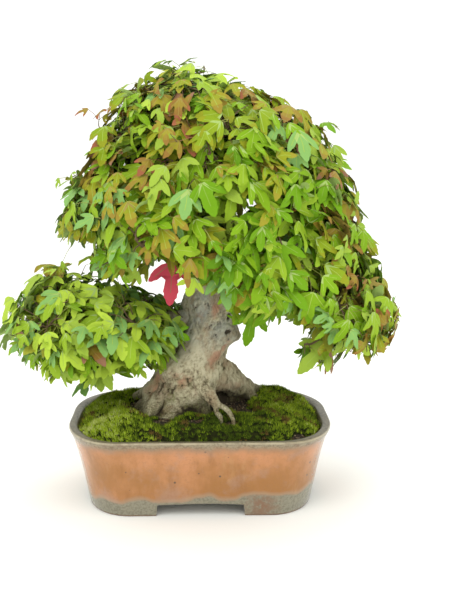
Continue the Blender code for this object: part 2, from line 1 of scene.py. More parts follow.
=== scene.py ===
"""The looks of a trident maple bonsai in its glazed pot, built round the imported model.

Places are laid out in metres from the middle of the pot on the surface that it stands on.
"""

import math
import random

import bmesh
import bpy
import numpy as np
from mathutils import Matrix, Vector, noise


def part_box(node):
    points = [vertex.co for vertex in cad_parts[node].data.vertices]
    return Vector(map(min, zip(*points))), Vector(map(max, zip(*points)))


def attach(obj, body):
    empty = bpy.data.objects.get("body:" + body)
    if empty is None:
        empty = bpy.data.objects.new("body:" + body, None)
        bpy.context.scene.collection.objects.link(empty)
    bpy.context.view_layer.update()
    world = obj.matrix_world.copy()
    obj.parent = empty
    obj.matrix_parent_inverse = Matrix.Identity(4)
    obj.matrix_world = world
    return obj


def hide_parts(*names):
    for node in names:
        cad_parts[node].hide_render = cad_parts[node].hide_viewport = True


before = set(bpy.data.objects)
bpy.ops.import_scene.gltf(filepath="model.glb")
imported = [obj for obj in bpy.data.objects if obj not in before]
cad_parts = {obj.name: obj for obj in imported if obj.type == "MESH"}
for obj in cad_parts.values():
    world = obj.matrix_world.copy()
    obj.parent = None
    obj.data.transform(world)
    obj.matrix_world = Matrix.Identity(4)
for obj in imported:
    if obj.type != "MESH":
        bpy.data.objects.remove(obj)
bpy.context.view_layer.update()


# The pot: one body of stoneware, a rounded rectangle that flares to its rim, on four corner feet with an open
# arch along each side. It was pressed in a mould, dipped in a grey-green glaze, and glazed orange over that.

POT_LOW, POT_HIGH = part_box("pot")
MIDDLE = Vector(((POT_LOW.x + POT_HIGH.x) / 2, (POT_LOW.y + POT_HIGH.y) / 2, 0))
POT_HALF_LENGTH = (POT_HIGH.x - POT_LOW.x) / 2
POT_HALF_WIDTH = (POT_HIGH.y - POT_LOW.y) / 2
POT_CORNER = 0.058
POT_CORNER_DEPTH = 0.080
CORNER_STEPS = 14
FOOT_HEIGHT = 0.013
FOOT_THICKNESS = 0.014
FRONT_ARCH_HALF = 0.048
SIDE_ARCH_HALF = 0.030
ARCH_RISE = 0.0014
WALL_STEP = 0.012
POT_PROFILE = (  # height, and how far in from the rim's plan: up the outside, over the rim and down inside
    (0.0165, 0.0188), (0.022, 0.0177), (0.028, 0.0165), (0.039, 0.0146), (0.050, 0.0125), (0.061, 0.0100),
    (0.072, 0.0070), (0.080, 0.0044), (0.086, 0.0020), (0.0892, 0.0004), (0.0908, 0.0003), (0.0918, 0.0012),
    (0.0920, 0.0030), (0.0919, 0.0060), (0.0912, 0.0082), (0.0897, 0.0098), (0.0870, 0.0108), (0.084, 0.0114),
    (0.072, 0.0150), (0.050, 0.0205), (0.023, 0.0254),
)
UNDERSIDE_INSET = 0.0194
FOOT_INSET = 0.0222
FOOT_ROUND = 0.0015
FOOT_SLANT = 0.0020
HAND_WOBBLE = 0.0006
WOBBLE_WAVES = 22  # to the metre
UNEVENNESS = 11  # picks one of the ways in which clay, bark, moss and boughs may be uneven
WITHIN_FEET = 1
INNER_FLOOR = 0.021
LEVEL = 1e-4  # heights this close count as one
SEAM = 1e-6  # and points this close as one
LOOKS_DOWN = -0.9
LOOKS_IN = 0.2
HARD_EDGE = 0.7
RIM_CLAY = (0.0860, 0.0935)  # heights between which the orange glaze thins out over the grey
RIGHT_FOOT = MIDDLE + Vector((0.066, -POT_HALF_WIDTH + 0.018, 0.010))
FOOT_BLOTCH = RIGHT_FOOT + Vector((0.002, 0, 0.002))


def paint(code):
    """A colour as the eye sees it, given as six hexadecimal digits, in the shader's own linear values."""
    shares = [int(code[i:i + 2], 16) / 255 for i in (0, 2, 4)]
    return (*[s / 12.92 if s < 0.04045 else ((s + 0.055) / 1.055) ** 2.4 for s in shares], 1)


class Finish:
    """A material, to which patterns that lie in the piece's own place are added one by one."""

    def __init__(self, name, colour, roughness, **settings):
        self.material = bpy.data.materials.new(name)
        self.material.use_nodes = True
        self.tree = self.material.node_tree
        self.shader = self.tree.nodes["Principled BSDF"]
        self.shader.inputs["Base Color"].default_value = paint(colour)
        self.shader.inputs["Roughness"].default_value = roughness
        for socket, value in settings.items():
            self.shader.inputs[socket.replace("_", " ")].default_value = value
        self.place = self.node("ShaderNodeTexCoord").outputs["Object"]
        self.height = self.node("ShaderNodeSeparateXYZ", {0: self.place}).outputs["Z"]

    def node(self, kind, inputs=None, **settings):
        made = self.tree.nodes.new(kind)
        for setting, value in settings.items():
            setattr(made, setting, value)
        for socket, value in (inputs or {}).items():
            if isinstance(value, bpy.types.NodeSocket):
                self.tree.links.new(value, made.inputs[socket])
            else:
                made.inputs[socket].default_value = value
        return made

    def cloud(self, scale, detail=3, stretch=(1, 1, 1), shift=(0, 0, 0), twist=0.0, rough=0.6):
        """A soft noise from 0 to 1, so many clouds to the metre, drawn into swirls where it is twisted."""
        place = self.node("ShaderNodeMapping", {"Vector": self.place, "Scale": stretch, "Location": shift})
        settings = {"Vector": place.outputs[0], "Scale": scale, "Detail": detail, "Roughness": rough,
                    "Distortion": twist}
        return self.node("ShaderNodeTexNoise", settings).outputs[0]

    def step(self, value, low, high):
        """0 below the low end, 1 above the high one, and a smooth slope between."""
        ends = {"Value": value, "From Min": low, "From Max": high}
        return self.node("ShaderNodeMapRange", ends, interpolation_type="SMOOTHSTEP").outputs[0]

    def sum(self, first, second, times=1.0):
        """The first plus so many times the second."""
        parts = {0: second, 1: times, 2: first}
        return self.node("ShaderNodeMath", parts, operation="MULTIPLY_ADD").outputs[0]

    def product(self, first, second):
        return self.node("ShaderNodeMath", {0: first, 1: second}, operation="MULTIPLY").outputs[0]

    def near(self, spot, reach):
        """1 at a spot of the piece, falling to 0 this far from it."""
        far = self.node("ShaderNodeVectorMath", {0: self.place, 1: tuple(spot)}, operation="DISTANCE")
        return self.step(far.outputs["Value"], reach, 0.0)

    def over(self, share, below, above):
        """The colour below with another over it, in this share."""
        colours = {0: share, 6: below, 7: above if not isinstance(above, str) else paint(above)}
        return self.node("ShaderNodeMix", colours, data_type="RGBA").outputs[2]

    def stain(self, body, colour, pattern, ends, share=1.0, within=1.0):
        """The colour so far, with another over it where a pattern lies between two levels."""
        spread = self.product(self.step(pattern, *ends), within)
        return self.over(self.product(spread, share), body, colour)

    def colour(self, socket):
        self.tree.links.new(socket, self.shader.inputs["Base Color"])

    def roughness(self, socket):
        self.tree.links.new(socket, self.shader.inputs["Roughness"])

    def relief(self, socket, depth):
        """Small unevenness of the surface, this many metres deep."""
        bump = self.node("ShaderNodeBump", {"Height": socket, "Distance": depth, "Strength": 1.0})
        self.tree.links.new(bump.outputs[0], self.shader.inputs["Normal"])


def add_piece(name, mesh, finishes, nodes=(), sharp=40):
    """A piece of the tree, moved to its place, in these materials, that stands for these nodes."""
    mesh.transform(Matrix.Translation(MIDDLE))
    piece = bpy.data.objects.new(name, mesh)
    bpy.context.scene.collection.objects.link(piece)
    for made in finishes:
        mesh.materials.append(made.material)
    mesh.shade_smooth()
    mesh.set_sharp_from_angle(angle=math.radians(sharp))
    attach(piece, "root")
    if nodes:
        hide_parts(*nodes)
    return piece


def mesh_of(shell, name):
    """A bmesh made a mesh, with all its faces turned outwards."""
    bmesh.ops.recalc_face_normals(shell, faces=shell.faces)
    mesh = bpy.data.meshes.new(name)
    shell.to_mesh(mesh)
    shell.free()
    return mesh


def drawn_out(shell, face, height, inset, last_inset):
    """Extrudes the plan of the pot to this height, and scales it to stand in this far from the rim."""
    made = bmesh.ops.extrude_face_region(shell, geom=[face])["geom"]
    new = next(item for item in made if isinstance(item, bmesh.types.BMFace))
    if face.is_valid:
        shell.faces.remove(face)
    size = ((POT_HALF_LENGTH - inset) / (POT_HALF_LENGTH - last_inset),
            (POT_HALF_WIDTH - inset) / (POT_HALF_WIDTH - last_inset), 1)
    bmesh.ops.scale(shell, vec=size, verts=new.verts[:])
    bmesh.ops.translate(shell, vec=(0, 0, height - new.verts[0].co.z), verts=new.verts[:])
    return new


def is_underside(face):
    return face.normal.z < LOOKS_DOWN and face.calc_center_median().z < FOOT_HEIGHT + LEVEL


def cuts_across(half, arch, corner):
    """Where a side is cut across: at its arch's ends, and in even steps away from those and the corners."""
    steps = int(2 * half / WALL_STEP)
    even = [half * (2 * i / steps - 1) for i in range(1, steps)]
    clear = [at for at in even if abs(at) < half - corner and abs(abs(at) - arch) > WALL_STEP / 3]
    return [-arch, arch, *clear]


def pot_mesh():
    """The pot without its feet: its plan, drawn up the outside, over the rim and down to the inner floor."""
    shell = bmesh.new()
    bmesh.ops.create_grid(shell, x_segments=1, y_segments=1, size=1.0)
    deeper = POT_CORNER_DEPTH / POT_CORNER
    bmesh.ops.scale(shell, vec=(POT_HALF_LENGTH, POT_HALF_WIDTH / deeper, 1), verts=shell.verts)
    bmesh.ops.bevel(shell, geom=shell.verts[:], offset=POT_CORNER, offset_type="OFFSET",
                    segments=CORNER_STEPS, profile=0.5, affect="VERTICES", material=-1)
    bmesh.ops.scale(shell, vec=(1, deeper, 1), verts=shell.verts)
    size = (1 - UNDERSIDE_INSET / POT_HALF_LENGTH, 1 - UNDERSIDE_INSET / POT_HALF_WIDTH, 1)
    bmesh.ops.scale(shell, vec=size, verts=shell.verts)
    bmesh.ops.translate(shell, vec=(0, 0, FOOT_HEIGHT), verts=shell.verts)
    underside = shell.faces[:][0]
    last = UNDERSIDE_INSET
    made = bmesh.ops.extrude_face_region(shell, geom=[underside], use_keep_orig=True)["geom"]
    top = next(item for item in made if isinstance(item, bmesh.types.BMFace))
    for height, inset in POT_PROFILE:
        top = drawn_out(shell, top, height, inset, last)
        last = inset
    bmesh.ops.remove_doubles(shell, verts=shell.verts, dist=SEAM)
    bmesh.ops.recalc_face_normals(shell, faces=shell.faces)
    bottom = [face for face in shell.faces if is_underside(face)]
    bmesh.ops.inset_individual(shell, faces=bottom, thickness=FOOT_THICKNESS, depth=0)
    for face in bottom:
        face.material_index = WITHIN_FEET
    for normal, half, arch, corner in ((Vector((1, 0, 0)), POT_HALF_LENGTH, FRONT_ARCH_HALF, POT_CORNER),
                                       (Vector((0, 1, 0)), POT_HALF_WIDTH, SIDE_ARCH_HALF, POT_CORNER_DEPTH)):
        for at in cuts_across(half, arch, corner):
            bmesh.ops.bisect_plane(shell, geom=shell.verts[:] + shell.edges[:] + shell.faces[:],
                                   plane_co=normal * at, plane_no=normal)
    return shell


def inside_plan(x, y, half_length, half_width, corner, corner_depth):
    """How far a point lies inside a rectangle with corners rounded by this width and depth."""
    over_x = abs(x) - half_length + corner
    over_y = abs(y) - half_width + corner_depth
    if min(over_x, over_y) <= 0:
        return min(corner - over_x, corner_depth - over_y)
    share = math.hypot(over_x / corner, over_y / corner_depth)
    return (1 - share) / share * math.hypot(over_x, over_y)


def is_foot(face):
    """Whether a face of the underside lies where a foot goes down from it."""
    middle = face.calc_center_median()
    beyond = abs(middle.x) > FRONT_ARCH_HALF and abs(middle.y) > SIDE_ARCH_HALF
    return is_underside(face) and beyond and face.material_index != WITHIN_FEET


def with_feet(shell):
    """Extrudes the four feet from the pot's underside, and rounds the edges of feet and arches."""
    feet = [face for face in shell.faces if is_foot(face)]
    made = bmesh.ops.extrude_face_region(shell, geom=feet)["geom"]
    soles = [item for item in made if isinstance(item, bmesh.types.BMVert)]
    bmesh.ops.delete(shell, geom=[face for face in feet if face.is_valid], context="FACES")
    bmesh.ops.translate(shell, vec=(0, 0, -FOOT_HEIGHT), verts=soles)
    inwards = 1 - (FOOT_INSET - UNDERSIDE_INSET) / POT_HALF_LENGTH
    bmesh.ops.scale(shell, vec=(inwards, inwards, 1), verts=soles)
    for vert in soles:
        for axis, arch in ((0, FRONT_ARCH_HALF), (1, SIDE_ARCH_HALF)):
            if abs(abs(vert.co[axis]) - arch) < FOOT_SLANT:
                vert.co[axis] += math.copysign(FOOT_SLANT, vert.co[axis])
    for vert in shell.verts:
        x, y, z = vert.co
        if abs(z - FOOT_HEIGHT) < LEVEL and abs(x) < FRONT_ARCH_HALF:
            vert.co.z += ARCH_RISE * math.cos(x / FRONT_ARCH_HALF * math.pi / 2)
    bmesh.ops.recalc_face_normals(shell, faces=shell.faces)
    hard = [edge for edge in shell.edges if edge.calc_face_angle(0) > HARD_EDGE
            and max(v.co.z for v in edge.verts) < FOOT_HEIGHT + 2 * ARCH_RISE]
    bmesh.ops.bevel(shell, geom=hard, offset=FOOT_ROUND, offset_type="OFFSET", segments=3, profile=0.5,
                    affect="EDGES", clamp_overlap=True, material=-1)
    for vert in shell.verts:
        if vert.co.z > FOOT_ROUND:
            push = HAND_WOBBLE * noise.noise_vector(vert.co * WOBBLE_WAVES)
            vert.co += push * min(1, vert.co.z / FOOT_HEIGHT)
    return shell


def stoneware(finish, light, dark):
    """The grey glaze: speckled, and clouded where it is thin."""
    body = finish.stain(paint(light), dark, finish.cloud(420, 3), (0.38, 0.68))
    return finish.stain(body, light, finish.cloud(48, 4), (0.45, 0.70), 0.5)


def glaze_finish():
    """Orange glaze in runs and clouds, over a grey one that shows on the rim and the feet."""
    glaze = Finish("glaze", "a87850", 0.3, Coat_Weight=0.3, Coat_Roughness=0.15)
    runs = glaze.cloud(70, 4, stretch=(1, 1, 0.10))
    grain = glaze.cloud(420, 2)
    warm = glaze.sum(glaze.sum(glaze.cloud(14, 4), runs, 0.30), glaze.height, -4.5)
    pinholes = glaze.node("ShaderNodeTexVoronoi", {"Vector": glaze.place, "Scale": 62}).outputs["Distance"]
    across = glaze.node("ShaderNodeSeparateXYZ", {0: glaze.place}).outputs["X"]
    edge = glaze.sum(glaze.height, glaze.cloud(20, 2, stretch=(1, 1, 0.3)), -0.026)
    edge = glaze.sum(glaze.sum(edge, across, -0.024), glaze.near(RIGHT_FOOT, 0.05), -0.006)
    base = stoneware(glaze, "87826f", "6f6b58")
    base = glaze.stain(base, "7c5c44", glaze.cloud(150, 4), (0.34, 0.58), 1.0, glaze.near(FOOT_BLOTCH, 0.030))
    rim = glaze.sum(glaze.height, glaze.cloud(50, 4), 0.010)
    lip = glaze.product(glaze.step(glaze.height, 0.0893, 0.0904), glaze.step(glaze.height, 0.09188, 0.0915))
    body = paint("be8256")
    for layer in (  # colour, the pattern that spreads it, that pattern's two levels, share and place
            ("99662f", warm, (0.24, 0.60)),
            ("a07c66", glaze.cloud(30, 5, shift=(3, 1, 2)), (0.50, 0.70), 0.62),
            ("b88a5c", glaze.cloud(44, 4, stretch=(1, 1, 0.3), shift=(1, 7, 2)), (0.55, 0.72), 0.5),
            ("8a5a2c", runs, (0.56, 0.74), 0.40),
            ("87603c", grain, (0.50, 0.75), 0.30),
            ("4a3c30", pinholes, (0.100, 0.060), 0.85),
            ("9a8c78", edge, (0.0145, 0.0085), 0.5),
            (base, edge, (0.0095, 0.0055)),
            ("8c7259", rim, (0.0800, 0.0900), 0.75),
            (stoneware(glaze, "92866c", "6c604a"), rim, RIM_CLAY),
            ("76604a", glaze.cloud(90, 4, shift=(4, 4, 1)), (0.52, 0.68), 0.6, glaze.step(rim, *RIM_CLAY)),
            ("a89c80", glaze.cloud(80, 3), (0.30, 0.62), 1.0, lip),
            ("6b4c32", glaze.height, (0.0024, 0.0010))):
        body = glaze.stain(body, *layer)
    glaze.colour(body)
    glaze.roughness(glaze.sum(glaze.product(glaze.cloud(90, 3), 0.30), glaze.step(rim, 0.088, 0.094), 0.16))
    glaze.relief(glaze.sum(glaze.cloud(45, 4), grain, 0.25), 0.0007)
    return glaze


def inner_glaze_finish():
    inner = Finish("inner_glaze", "756b57", 0.4)
    inner.colour(stoneware(inner, "837862", "585040"))
    inner.relief(inner.cloud(200, 3), 0.0006)
    return inner


noise.seed_set(UNEVENNESS)
pot = with_feet(pot_mesh())
bmesh.ops.recalc_face_normals(pot, faces=pot.faces)
for face in pot.faces:
    middle = face.calc_center_median()
    looks_in = face.normal.dot(Vector((middle.x, middle.y, 0)).normalized()) < LOOKS_IN
    face.material_index = int(looks_in and middle.z > INNER_FLOOR)
glazes = [glaze_finish(), inner_glaze_finish()]
add_piece("pot_glazed", mesh_of(pot, "pot_glazed"), glazes, ["pot"], sharp=35)


# The soil: damp dark grit that fills the pot to just under its rim and is mounded up round the foot of the
# tree. Loose grains lie on it, most of them where no moss has grown.

SOIL_EDGE = 0.083
SOIL_TOP = 0.098
WALL_INSET = 0.0108
INNER_CORNER = WALL_INSET * 0.6
SEAT = (0.092, 0.066, 0.060, 0.060)
SEAT_SHIFT = 0.006
SOIL_CELL = 0.0016
SOIL_LUMP = 0.0011
OVER_WALL = 0.003
PAST_WALL = 0.0026
SKIRT_SHARES = (0.92, 0.90)
SKIRT_FOOT = 0.050
GRAINS = 3200
GRAIN_SIZES = (0.0005, 0.0013)
GRAIN_LUMPS = 0.35
GRAIN_SUNK = 0.3
GRAIN_KINDS = (0, 0, 1, 2)
KEPT_OFF_WALL = 0.0015
UNDER_MOSS = 0.9  # of the grains that fall on moss, this share is swallowed


def from_wall(x, y):
    """How far a point of the soil lies in from the pot's wall."""
    return inside_plan(x, y, POT_HALF_LENGTH - WALL_INSET, POT_HALF_WIDTH - WALL_INSET,
                       POT_CORNER - INNER_CORNER, POT_CORNER_DEPTH - INNER_CORNER)


def mound_height(x, y):
    """The height of the soil, from its edge at the wall up to the flat seat under the tree."""
    wall = max(from_wall(x, y), 0.0)
    seat = max(-inside_plan(x, y - SEAT_SHIFT, *SEAT), 0.0)
    share = wall / (wall + seat) if seat else 1.0
    return SOIL_EDGE + (SOIL_TOP - SOIL_EDGE) * math.sin(share * math.pi / 2)


def uneven(x, y, layer, waves, falloff=0.9, octaves=3):
    """How uneven the ground is at a point, about -1 to 1, with so many waves to the metre."""
    return noise.fractal(Vector((x, y, layer)) * waves, falloff, 2.0, octaves)


def sheet_over_pot(cell):
    """A flat sheet of cells this wide, a little larger than the inside of the pot."""
    shell = bmesh.new()
    half_length = POT_HALF_LENGTH - WALL_INSET + OVER_WALL
    half_width = POT_HALF_WIDTH - WALL_INSET + OVER_WALL
    bmesh.ops.create_grid(shell, x_segments=round(2 * half_length / cell),
                          y_segments=round(2 * half_width / cell), size=1.0)
    bmesh.ops.scale(shell, vec=(half_length, half_width, 1), verts=shell.verts)
    return shell


def soil_mesh():
    """The soil's lumpy top, with a skirt that goes down inside the pot."""
    shell = sheet_over_pot(SOIL_CELL)
    outside = [vert for vert in shell.verts if from_wall(vert.co.x, vert.co.y) < -PAST_WALL]
    bmesh.ops.delete(shell, geom=outside, context="VERTS")
    for vert in shell.verts:
        x, y, _ = vert.co
        vert.co.z = mound_height(x, y) + SOIL_LUMP * uneven(x, y, 0.3, 130, 0.7, 4)
    rim = [edge for edge in shell.edges if edge.is_boundary]
    made = bmesh.ops.extrude_edge_only(shell, edges=rim)["geom"]
    skirt = [item for item in made if isinstance(item, bmesh.types.BMVert)]
    for vert in skirt:
        vert.co = Vector((vert.co.x * SKIRT_SHARES[0], vert.co.y * SKIRT_SHARES[1], SKIRT_FOOT))
    bmesh.ops.holes_fill(shell, edges=[edge for edge in shell.edges if edge.is_boundary])
    return mesh_of(shell, "soil_bed")


def soil_finish(name, dark, mid, light):
    earth = Finish(name, dark, 0.92)
    body = earth.stain(paint(dark), mid, earth.cloud(240, 4), (0.42, 0.62))
    earth.colour(earth.stain(body, light, earth.cloud(700, 2), (0.62, 0.70)))
    earth.relief(earth.cloud(500, 3), 0.0012)
    return earth


class Gathered:
    """Many small shapes brought together in one mesh, each face with the number of its material."""

    def __init__(self):
        self.points = []
        self.faces = []
        self.kinds = []
        self.count = 0

    def add(self, points, faces, kinds):
        self.points.append(points)
        self.faces.append(faces + self.count)
        self.kinds.append(kinds)
        self.count += len(points)

    def mesh(self, name):
        faces = np.concatenate(self.faces)
        made = bpy.data.meshes.new(name)
        made.from_pydata(np.concatenate(self.points), [], faces.tolist())
        made.polygons.foreach_set("material_index", np.concatenate(self.kinds).astype(np.int32))
        return made


def arrays_of(shell):
    """The points and triangles of a bmesh as arrays, and the bmesh freed."""
    bmesh.ops.triangulate(shell, faces=shell.faces)
    shell.verts.index_update()
    points = np.array([vert.co for vert in shell.verts])
    faces = np.array([[vert.index for vert in face.verts] for face in shell.faces])
    shell.free()
    return points, faces


def turned_any_way(dice):
    """A turn picked evenly from all turns, as an array."""
    first = Matrix.Rotation(dice.uniform(0, math.tau), 3, "Z")
    tilt = Matrix.Rotation(math.acos(dice.uniform(-1, 1)), 3, "X")
    return np.array(first @ tilt @ Matrix.Rotation(dice.uniform(0, math.tau), 3, "Z"))


def grain_mesh():
    """Loose grains of three kinds, half sunk where the ground is bare."""
    shell = bmesh.new()
    bmesh.ops.create_icosphere(shell, subdivisions=1, radius=1.0)
    for vert in shell.verts:
        vert.co *= 1 + GRAIN_LUMPS * noise.noise(vert.co * 2.1)
    points, faces = arrays_of(shell)
    grains = Gathered()
    dice = random.Random(11)
    while len(grains.points) < GRAINS:
        x = dice.uniform(-POT_HALF_LENGTH, POT_HALF_LENGTH)
        y = dice.uniform(-POT_HALF_WIDTH, POT_HALF_WIDTH)
        if from_wall(x, y) < KEPT_OFF_WALL or (moss_cover(x, y) > 0.001 and dice.random() < UNDER_MOSS):
            continue
        size = dice.uniform(*GRAIN_SIZES)
        place = np.array((x, y, mound_height(x, y) + GRAIN_SUNK * size))
        kind = dice.choice(GRAIN_KINDS)
        grains.add(points @ turned_any_way(dice) * size + place, faces, np.full(len(faces), kind))
    return grains.mesh("soil_grains")


# The trunk and boughs: the trunk stands on a flare of surface roots, leans to the right over a knobbly waist
# and tapers to its tip. Its grey-tan bark is ridged, flakes in orange patches, and is moss-green low down.

TRUNK = np.array((  # height, centre and radius up its length
    (0.0983, -0.014, 0.012, 0.0450), (0.108, -0.014, 0.012, 0.0425), (0.120, -0.014, 0.012, 0.0415),
    (0.134, -0.013, 0.012, 0.0410), (0.148, -0.012, 0.011, 0.0405), (0.160, -0.008, 0.010, 0.0380),
    (0.172, -0.002, 0.009, 0.0340), (0.186, 0.005, 0.007, 0.0310), (0.200, 0.010, 0.006, 0.0292),
    (0.216, 0.013, 0.005, 0.0280), (0.234, 0.014, 0.005, 0.0280), (0.250, 0.013, 0.005, 0.0265),
    (0.266, 0.011, 0.005, 0.0225), (0.286, 0.008, 0.006, 0.0180), (0.312, 0.005, 0.007, 0.0150),
    (0.342, 0.001, 0.008, 0.0122), (0.374, -0.005, 0.009, 0.0096), (0.406, -0.010, 0.008, 0.0070),
    (0.436, -0.012, 0.006, 0.0042),
))
TRUNK_SMOOTHED = (-0.006, -0.003, 0, 0.003, 0.006)
TRUNK_FOOT = 0.0950
TRUNK_AROUND = 220
TRUNK_ALONG = 330
TRUNK_SPACING = 1.25  # over 1 puts more of its rings low down
ROOT_CURVE = 1.7
ROOT_SUNK = 1.1
ROOTS = (  # direction in degrees, reach past the trunk, angular width, height of its ridge
    (25, 0.036, 13, 0.040), (-106, 0.010, 20, 0.020), (-150, 0.016, 30, 0.052), (172, 0.016, 18, 0.034),
    (118, 0.022, 16, 0.032), (62, 0.018, 15, 0.030),
)
SWELLINGS = (  # height, direction in degrees, how far it stands out, angular width, height spread
    (0.184, -12, 0.0120, 20, 0.0066), (0.194, -15, 0.0066, 20, 0.0080), (0.122, -166, 0.0070, 15, 0.0110),
    (0.232, -100, 0.0035, 26, 0.012), (0.150, -122, 0.0035, 22, 0.016), (0.214, 150, 0.0050, 26, 0.014),
    (0.224, 178, 0.0060, 16, 0.010), (0.195, -46, -0.0045, 6, 0.0028), (0.194, -45, 0.0040, 15, 0.0080),
    (0.2125, -44, -0.0060, 5, 0.0036), (0.248, -62, -0.0070, 11, 0.0055), (0.262, -80, -0.0030, 12, 0.0080),
    (0.229, -124, -0.0020, 5, 0.0055), (0.229, -124, 0.0030, 11, 0.0095), (0.188, -92, 0.0025, 9, 0.0170),
    (0.255, -110, 0.0025, 9, 0.0100), (0.158, -40, -0.0030, 14, 0.0060), (0.099, -86, -0.0130, 17, 0.0110),
    (0.104, -11, -0.0220, 32, 0.0180), (0.129, -67, 0.0090, 12, 0.0110), (0.1225, -62, 0.0110, 9, 0.0095),
    (0.106, -132, -0.0060, 7, 0.0090), (0.215, -30, 0.0030, 12, 0.0070), (0.200, -95, 0.0022, 12, 0.0080),
    (0.124, -112, 0.0030, 10, 0.0120), (0.186, -12, -0.0030, 4, 0.0030),
)
HOLE_DEPTH = 0.004  # a hollow deeper than this gets painted shade inside
HOLLOW_PAINTED_SHADE = 0.45
KNOTS = (  # height, direction, angular width and height spread of the rings in the bark round a knot
    (0.195, -46, 20, 0.0110), (0.229, -124, 15, 0.0130), (0.2125, -46, 14, 0.0080), (0.205, 130, 20, 0.0140),
    (0.160, 40, 18, 0.0120),
)
RING_TURNS = 11
RING_RISE = 0.0007
RING_TONE = 0.20
FAINTEST_RING = 1e-6
RING_WANDER = (0.20, 0.004)  # how far rings stray round the trunk and up it
FLAKES = (  # height, direction in degrees, angular width, height spread
    (0.139, -100, 13, 0.011), (0.166, -52, 15, 0.011), (0.133, -144, 12, 0.014), (0.176, -38, 12, 0.006),
    (0.221, -82, 12, 0.007), (0.150, 60, 20, 0.014), (0.205, 110, 18, 0.012), (0.126, 170, 14, 0.012),
)
FLAKE_RAGGED = 0.50
FLAKE_EDGE = 0.34
FLAKE_SHARPNESS = 2.2
FLAKE_DEPTH = 0.0006
BARK_WARPS = ((0.020, 24), (0.004, 90))  # how far the bark's pattern is pulled about, and waves to the metre
BARK_RIDGES = (  # waves to the metre across and along, rise in metres and tone: grain, strands and folds
    (210, 58, 0.0006, 0.24), (95, 30, 0.0009, 0.17), (60, 150, 0.0006, 0.10),
)
RIDGE_SLOPE = 2.2
LUMP_RISE, LUMP_TONE = 0.0022, 0.34
CRACK_WIDTH, CRACK_DEPTH, CRACK_TONE = 0.13, 0.00035, 0.20
FINE_RISE, FINE_TONE = 0.0003, 0.30
BARK_TONE = 0.46
FULL_BARK = 0.026  # a limb of this radius or more has the bark's full relief
GREEN_TOP, GREEN_FADE = 0.148, 0.05


def trunk_at(height):
    """(centre, radius) of the trunk at this height, smoothed between the rows of its table."""
    near = np.array([height + step for step in TRUNK_SMOOTHED])
    x, y, radius = (float(np.interp(near, TRUNK[:, 0], TRUNK[:, column]).mean()) for column in (1, 2, 3))
    return Vector((x, y, height)), radius


def angle_between(a, b):
    """The shorter way round from one direction to another, in radians."""
    return abs((a - b + math.pi) % math.tau - math.pi)


def between(value, low=0.0, high=1.0):
    """The value, kept within these limits."""
    return min(max(value, low), high)


def patch(turn, height, direction, at, width, spread):
    """1 in the middle of a patch of the trunk, falling smoothly to 0 round it."""
    off = angle_between(turn, math.radians(direction)) / math.radians(width)
    rise = (height - at) / spread
    return math.exp(-off * off - rise * rise)


def trunk_reach(turn, height):
    """How far the trunk's skin stands from its middle in this direction, with its roots, knobs and holes."""
    _, reach = trunk_at(height)
    for towards, out, width, ridge in ROOTS:
        lift = between(1 - (height - TRUNK[0, 0]) / ridge, 0.0, ROOT_SUNK)
        off = angle_between(turn, math.radians(towards)) / math.radians(width)
        reach += out * lift ** ROOT_CURVE * math.exp(-off * off)
    for at, towards, out, width, spread in SWELLINGS:
        reach += out * patch(turn, height, towards, at, width, spread)
    return reach


def bark_relief(point, size):
    """(how far the bark stands out, its tone from 0 in a crack to 1 on a ridge) on a limb of this radius."""
    warped = point
    for reach, waves in BARK_WARPS:
        warped = warped + reach * noise.noise_vector(point * waves)
    lumps = noise.fractal(point * 34, 1.0, 2.0, 3)
    rise = LUMP_RISE * lumps
    tone = BARK_TONE
    for across, along, ridge_rise, ridge_tone in BARK_RIDGES:
        spot = Vector((warped.x * across, warped.y * across, warped.z * along))
        ridge = 1 - RIDGE_SLOPE * abs(noise.noise(spot))
        rise += ridge_rise * ridge
        tone += ridge_tone * ridge
    gaps, _ = noise.voronoi(Vector((warped.x * 95, warped.y * 95, warped.z * 42)))
    crack = max(0.0, 1 - (gaps[1] - gaps[0]) / CRACK_WIDTH)
    fine = noise.fractal(point * 460, 0.7, 2.0, 3)
    rise += FINE_RISE * fine - CRACK_DEPTH * crack
    tone += FINE_TONE * fine - CRACK_TONE * crack + LUMP_TONE * lumps
    return rise * min(1.0, size / FULL_BARK), between(tone)


def flake_share(turn, height, point):
    """How much of the bark has flaked off here, to show the orange bark under it."""
    near = max(patch(turn, height, towards, at, width, spread) for at, towards, width, spread in FLAKES)
    ragged = near + FLAKE_RAGGED * noise.fractal(point * 80, 0.8, 2.0, 4)
    return between((ragged - FLAKE_EDGE) * FLAKE_SHARPNESS)


def wrapped(around, along, place):
    """A closed tube made of a flat sheet. place gives a point and its tones from its turn and share."""
    shell = bmesh.new()
    bmesh.ops.create_grid(shell, x_segments=around, y_segments=along, size=0.5)
    layers = [shell.verts.layers.float.new(word) for word in ("tone", "flake", "green")]
    for vert in shell.verts:
        vert.co, tones = place((vert.co.x + 0.5) % 1.0 * math.tau, vert.co.y + 0.5)
        for layer, tone in zip(layers, tones):
            vert[layer] = tone
    bmesh.ops.remove_doubles(shell, verts=shell.verts, dist=SEAM)
    bmesh.ops.holes_fill(shell, edges=[edge for edge in shell.edges if edge.is_boundary])
    return shell


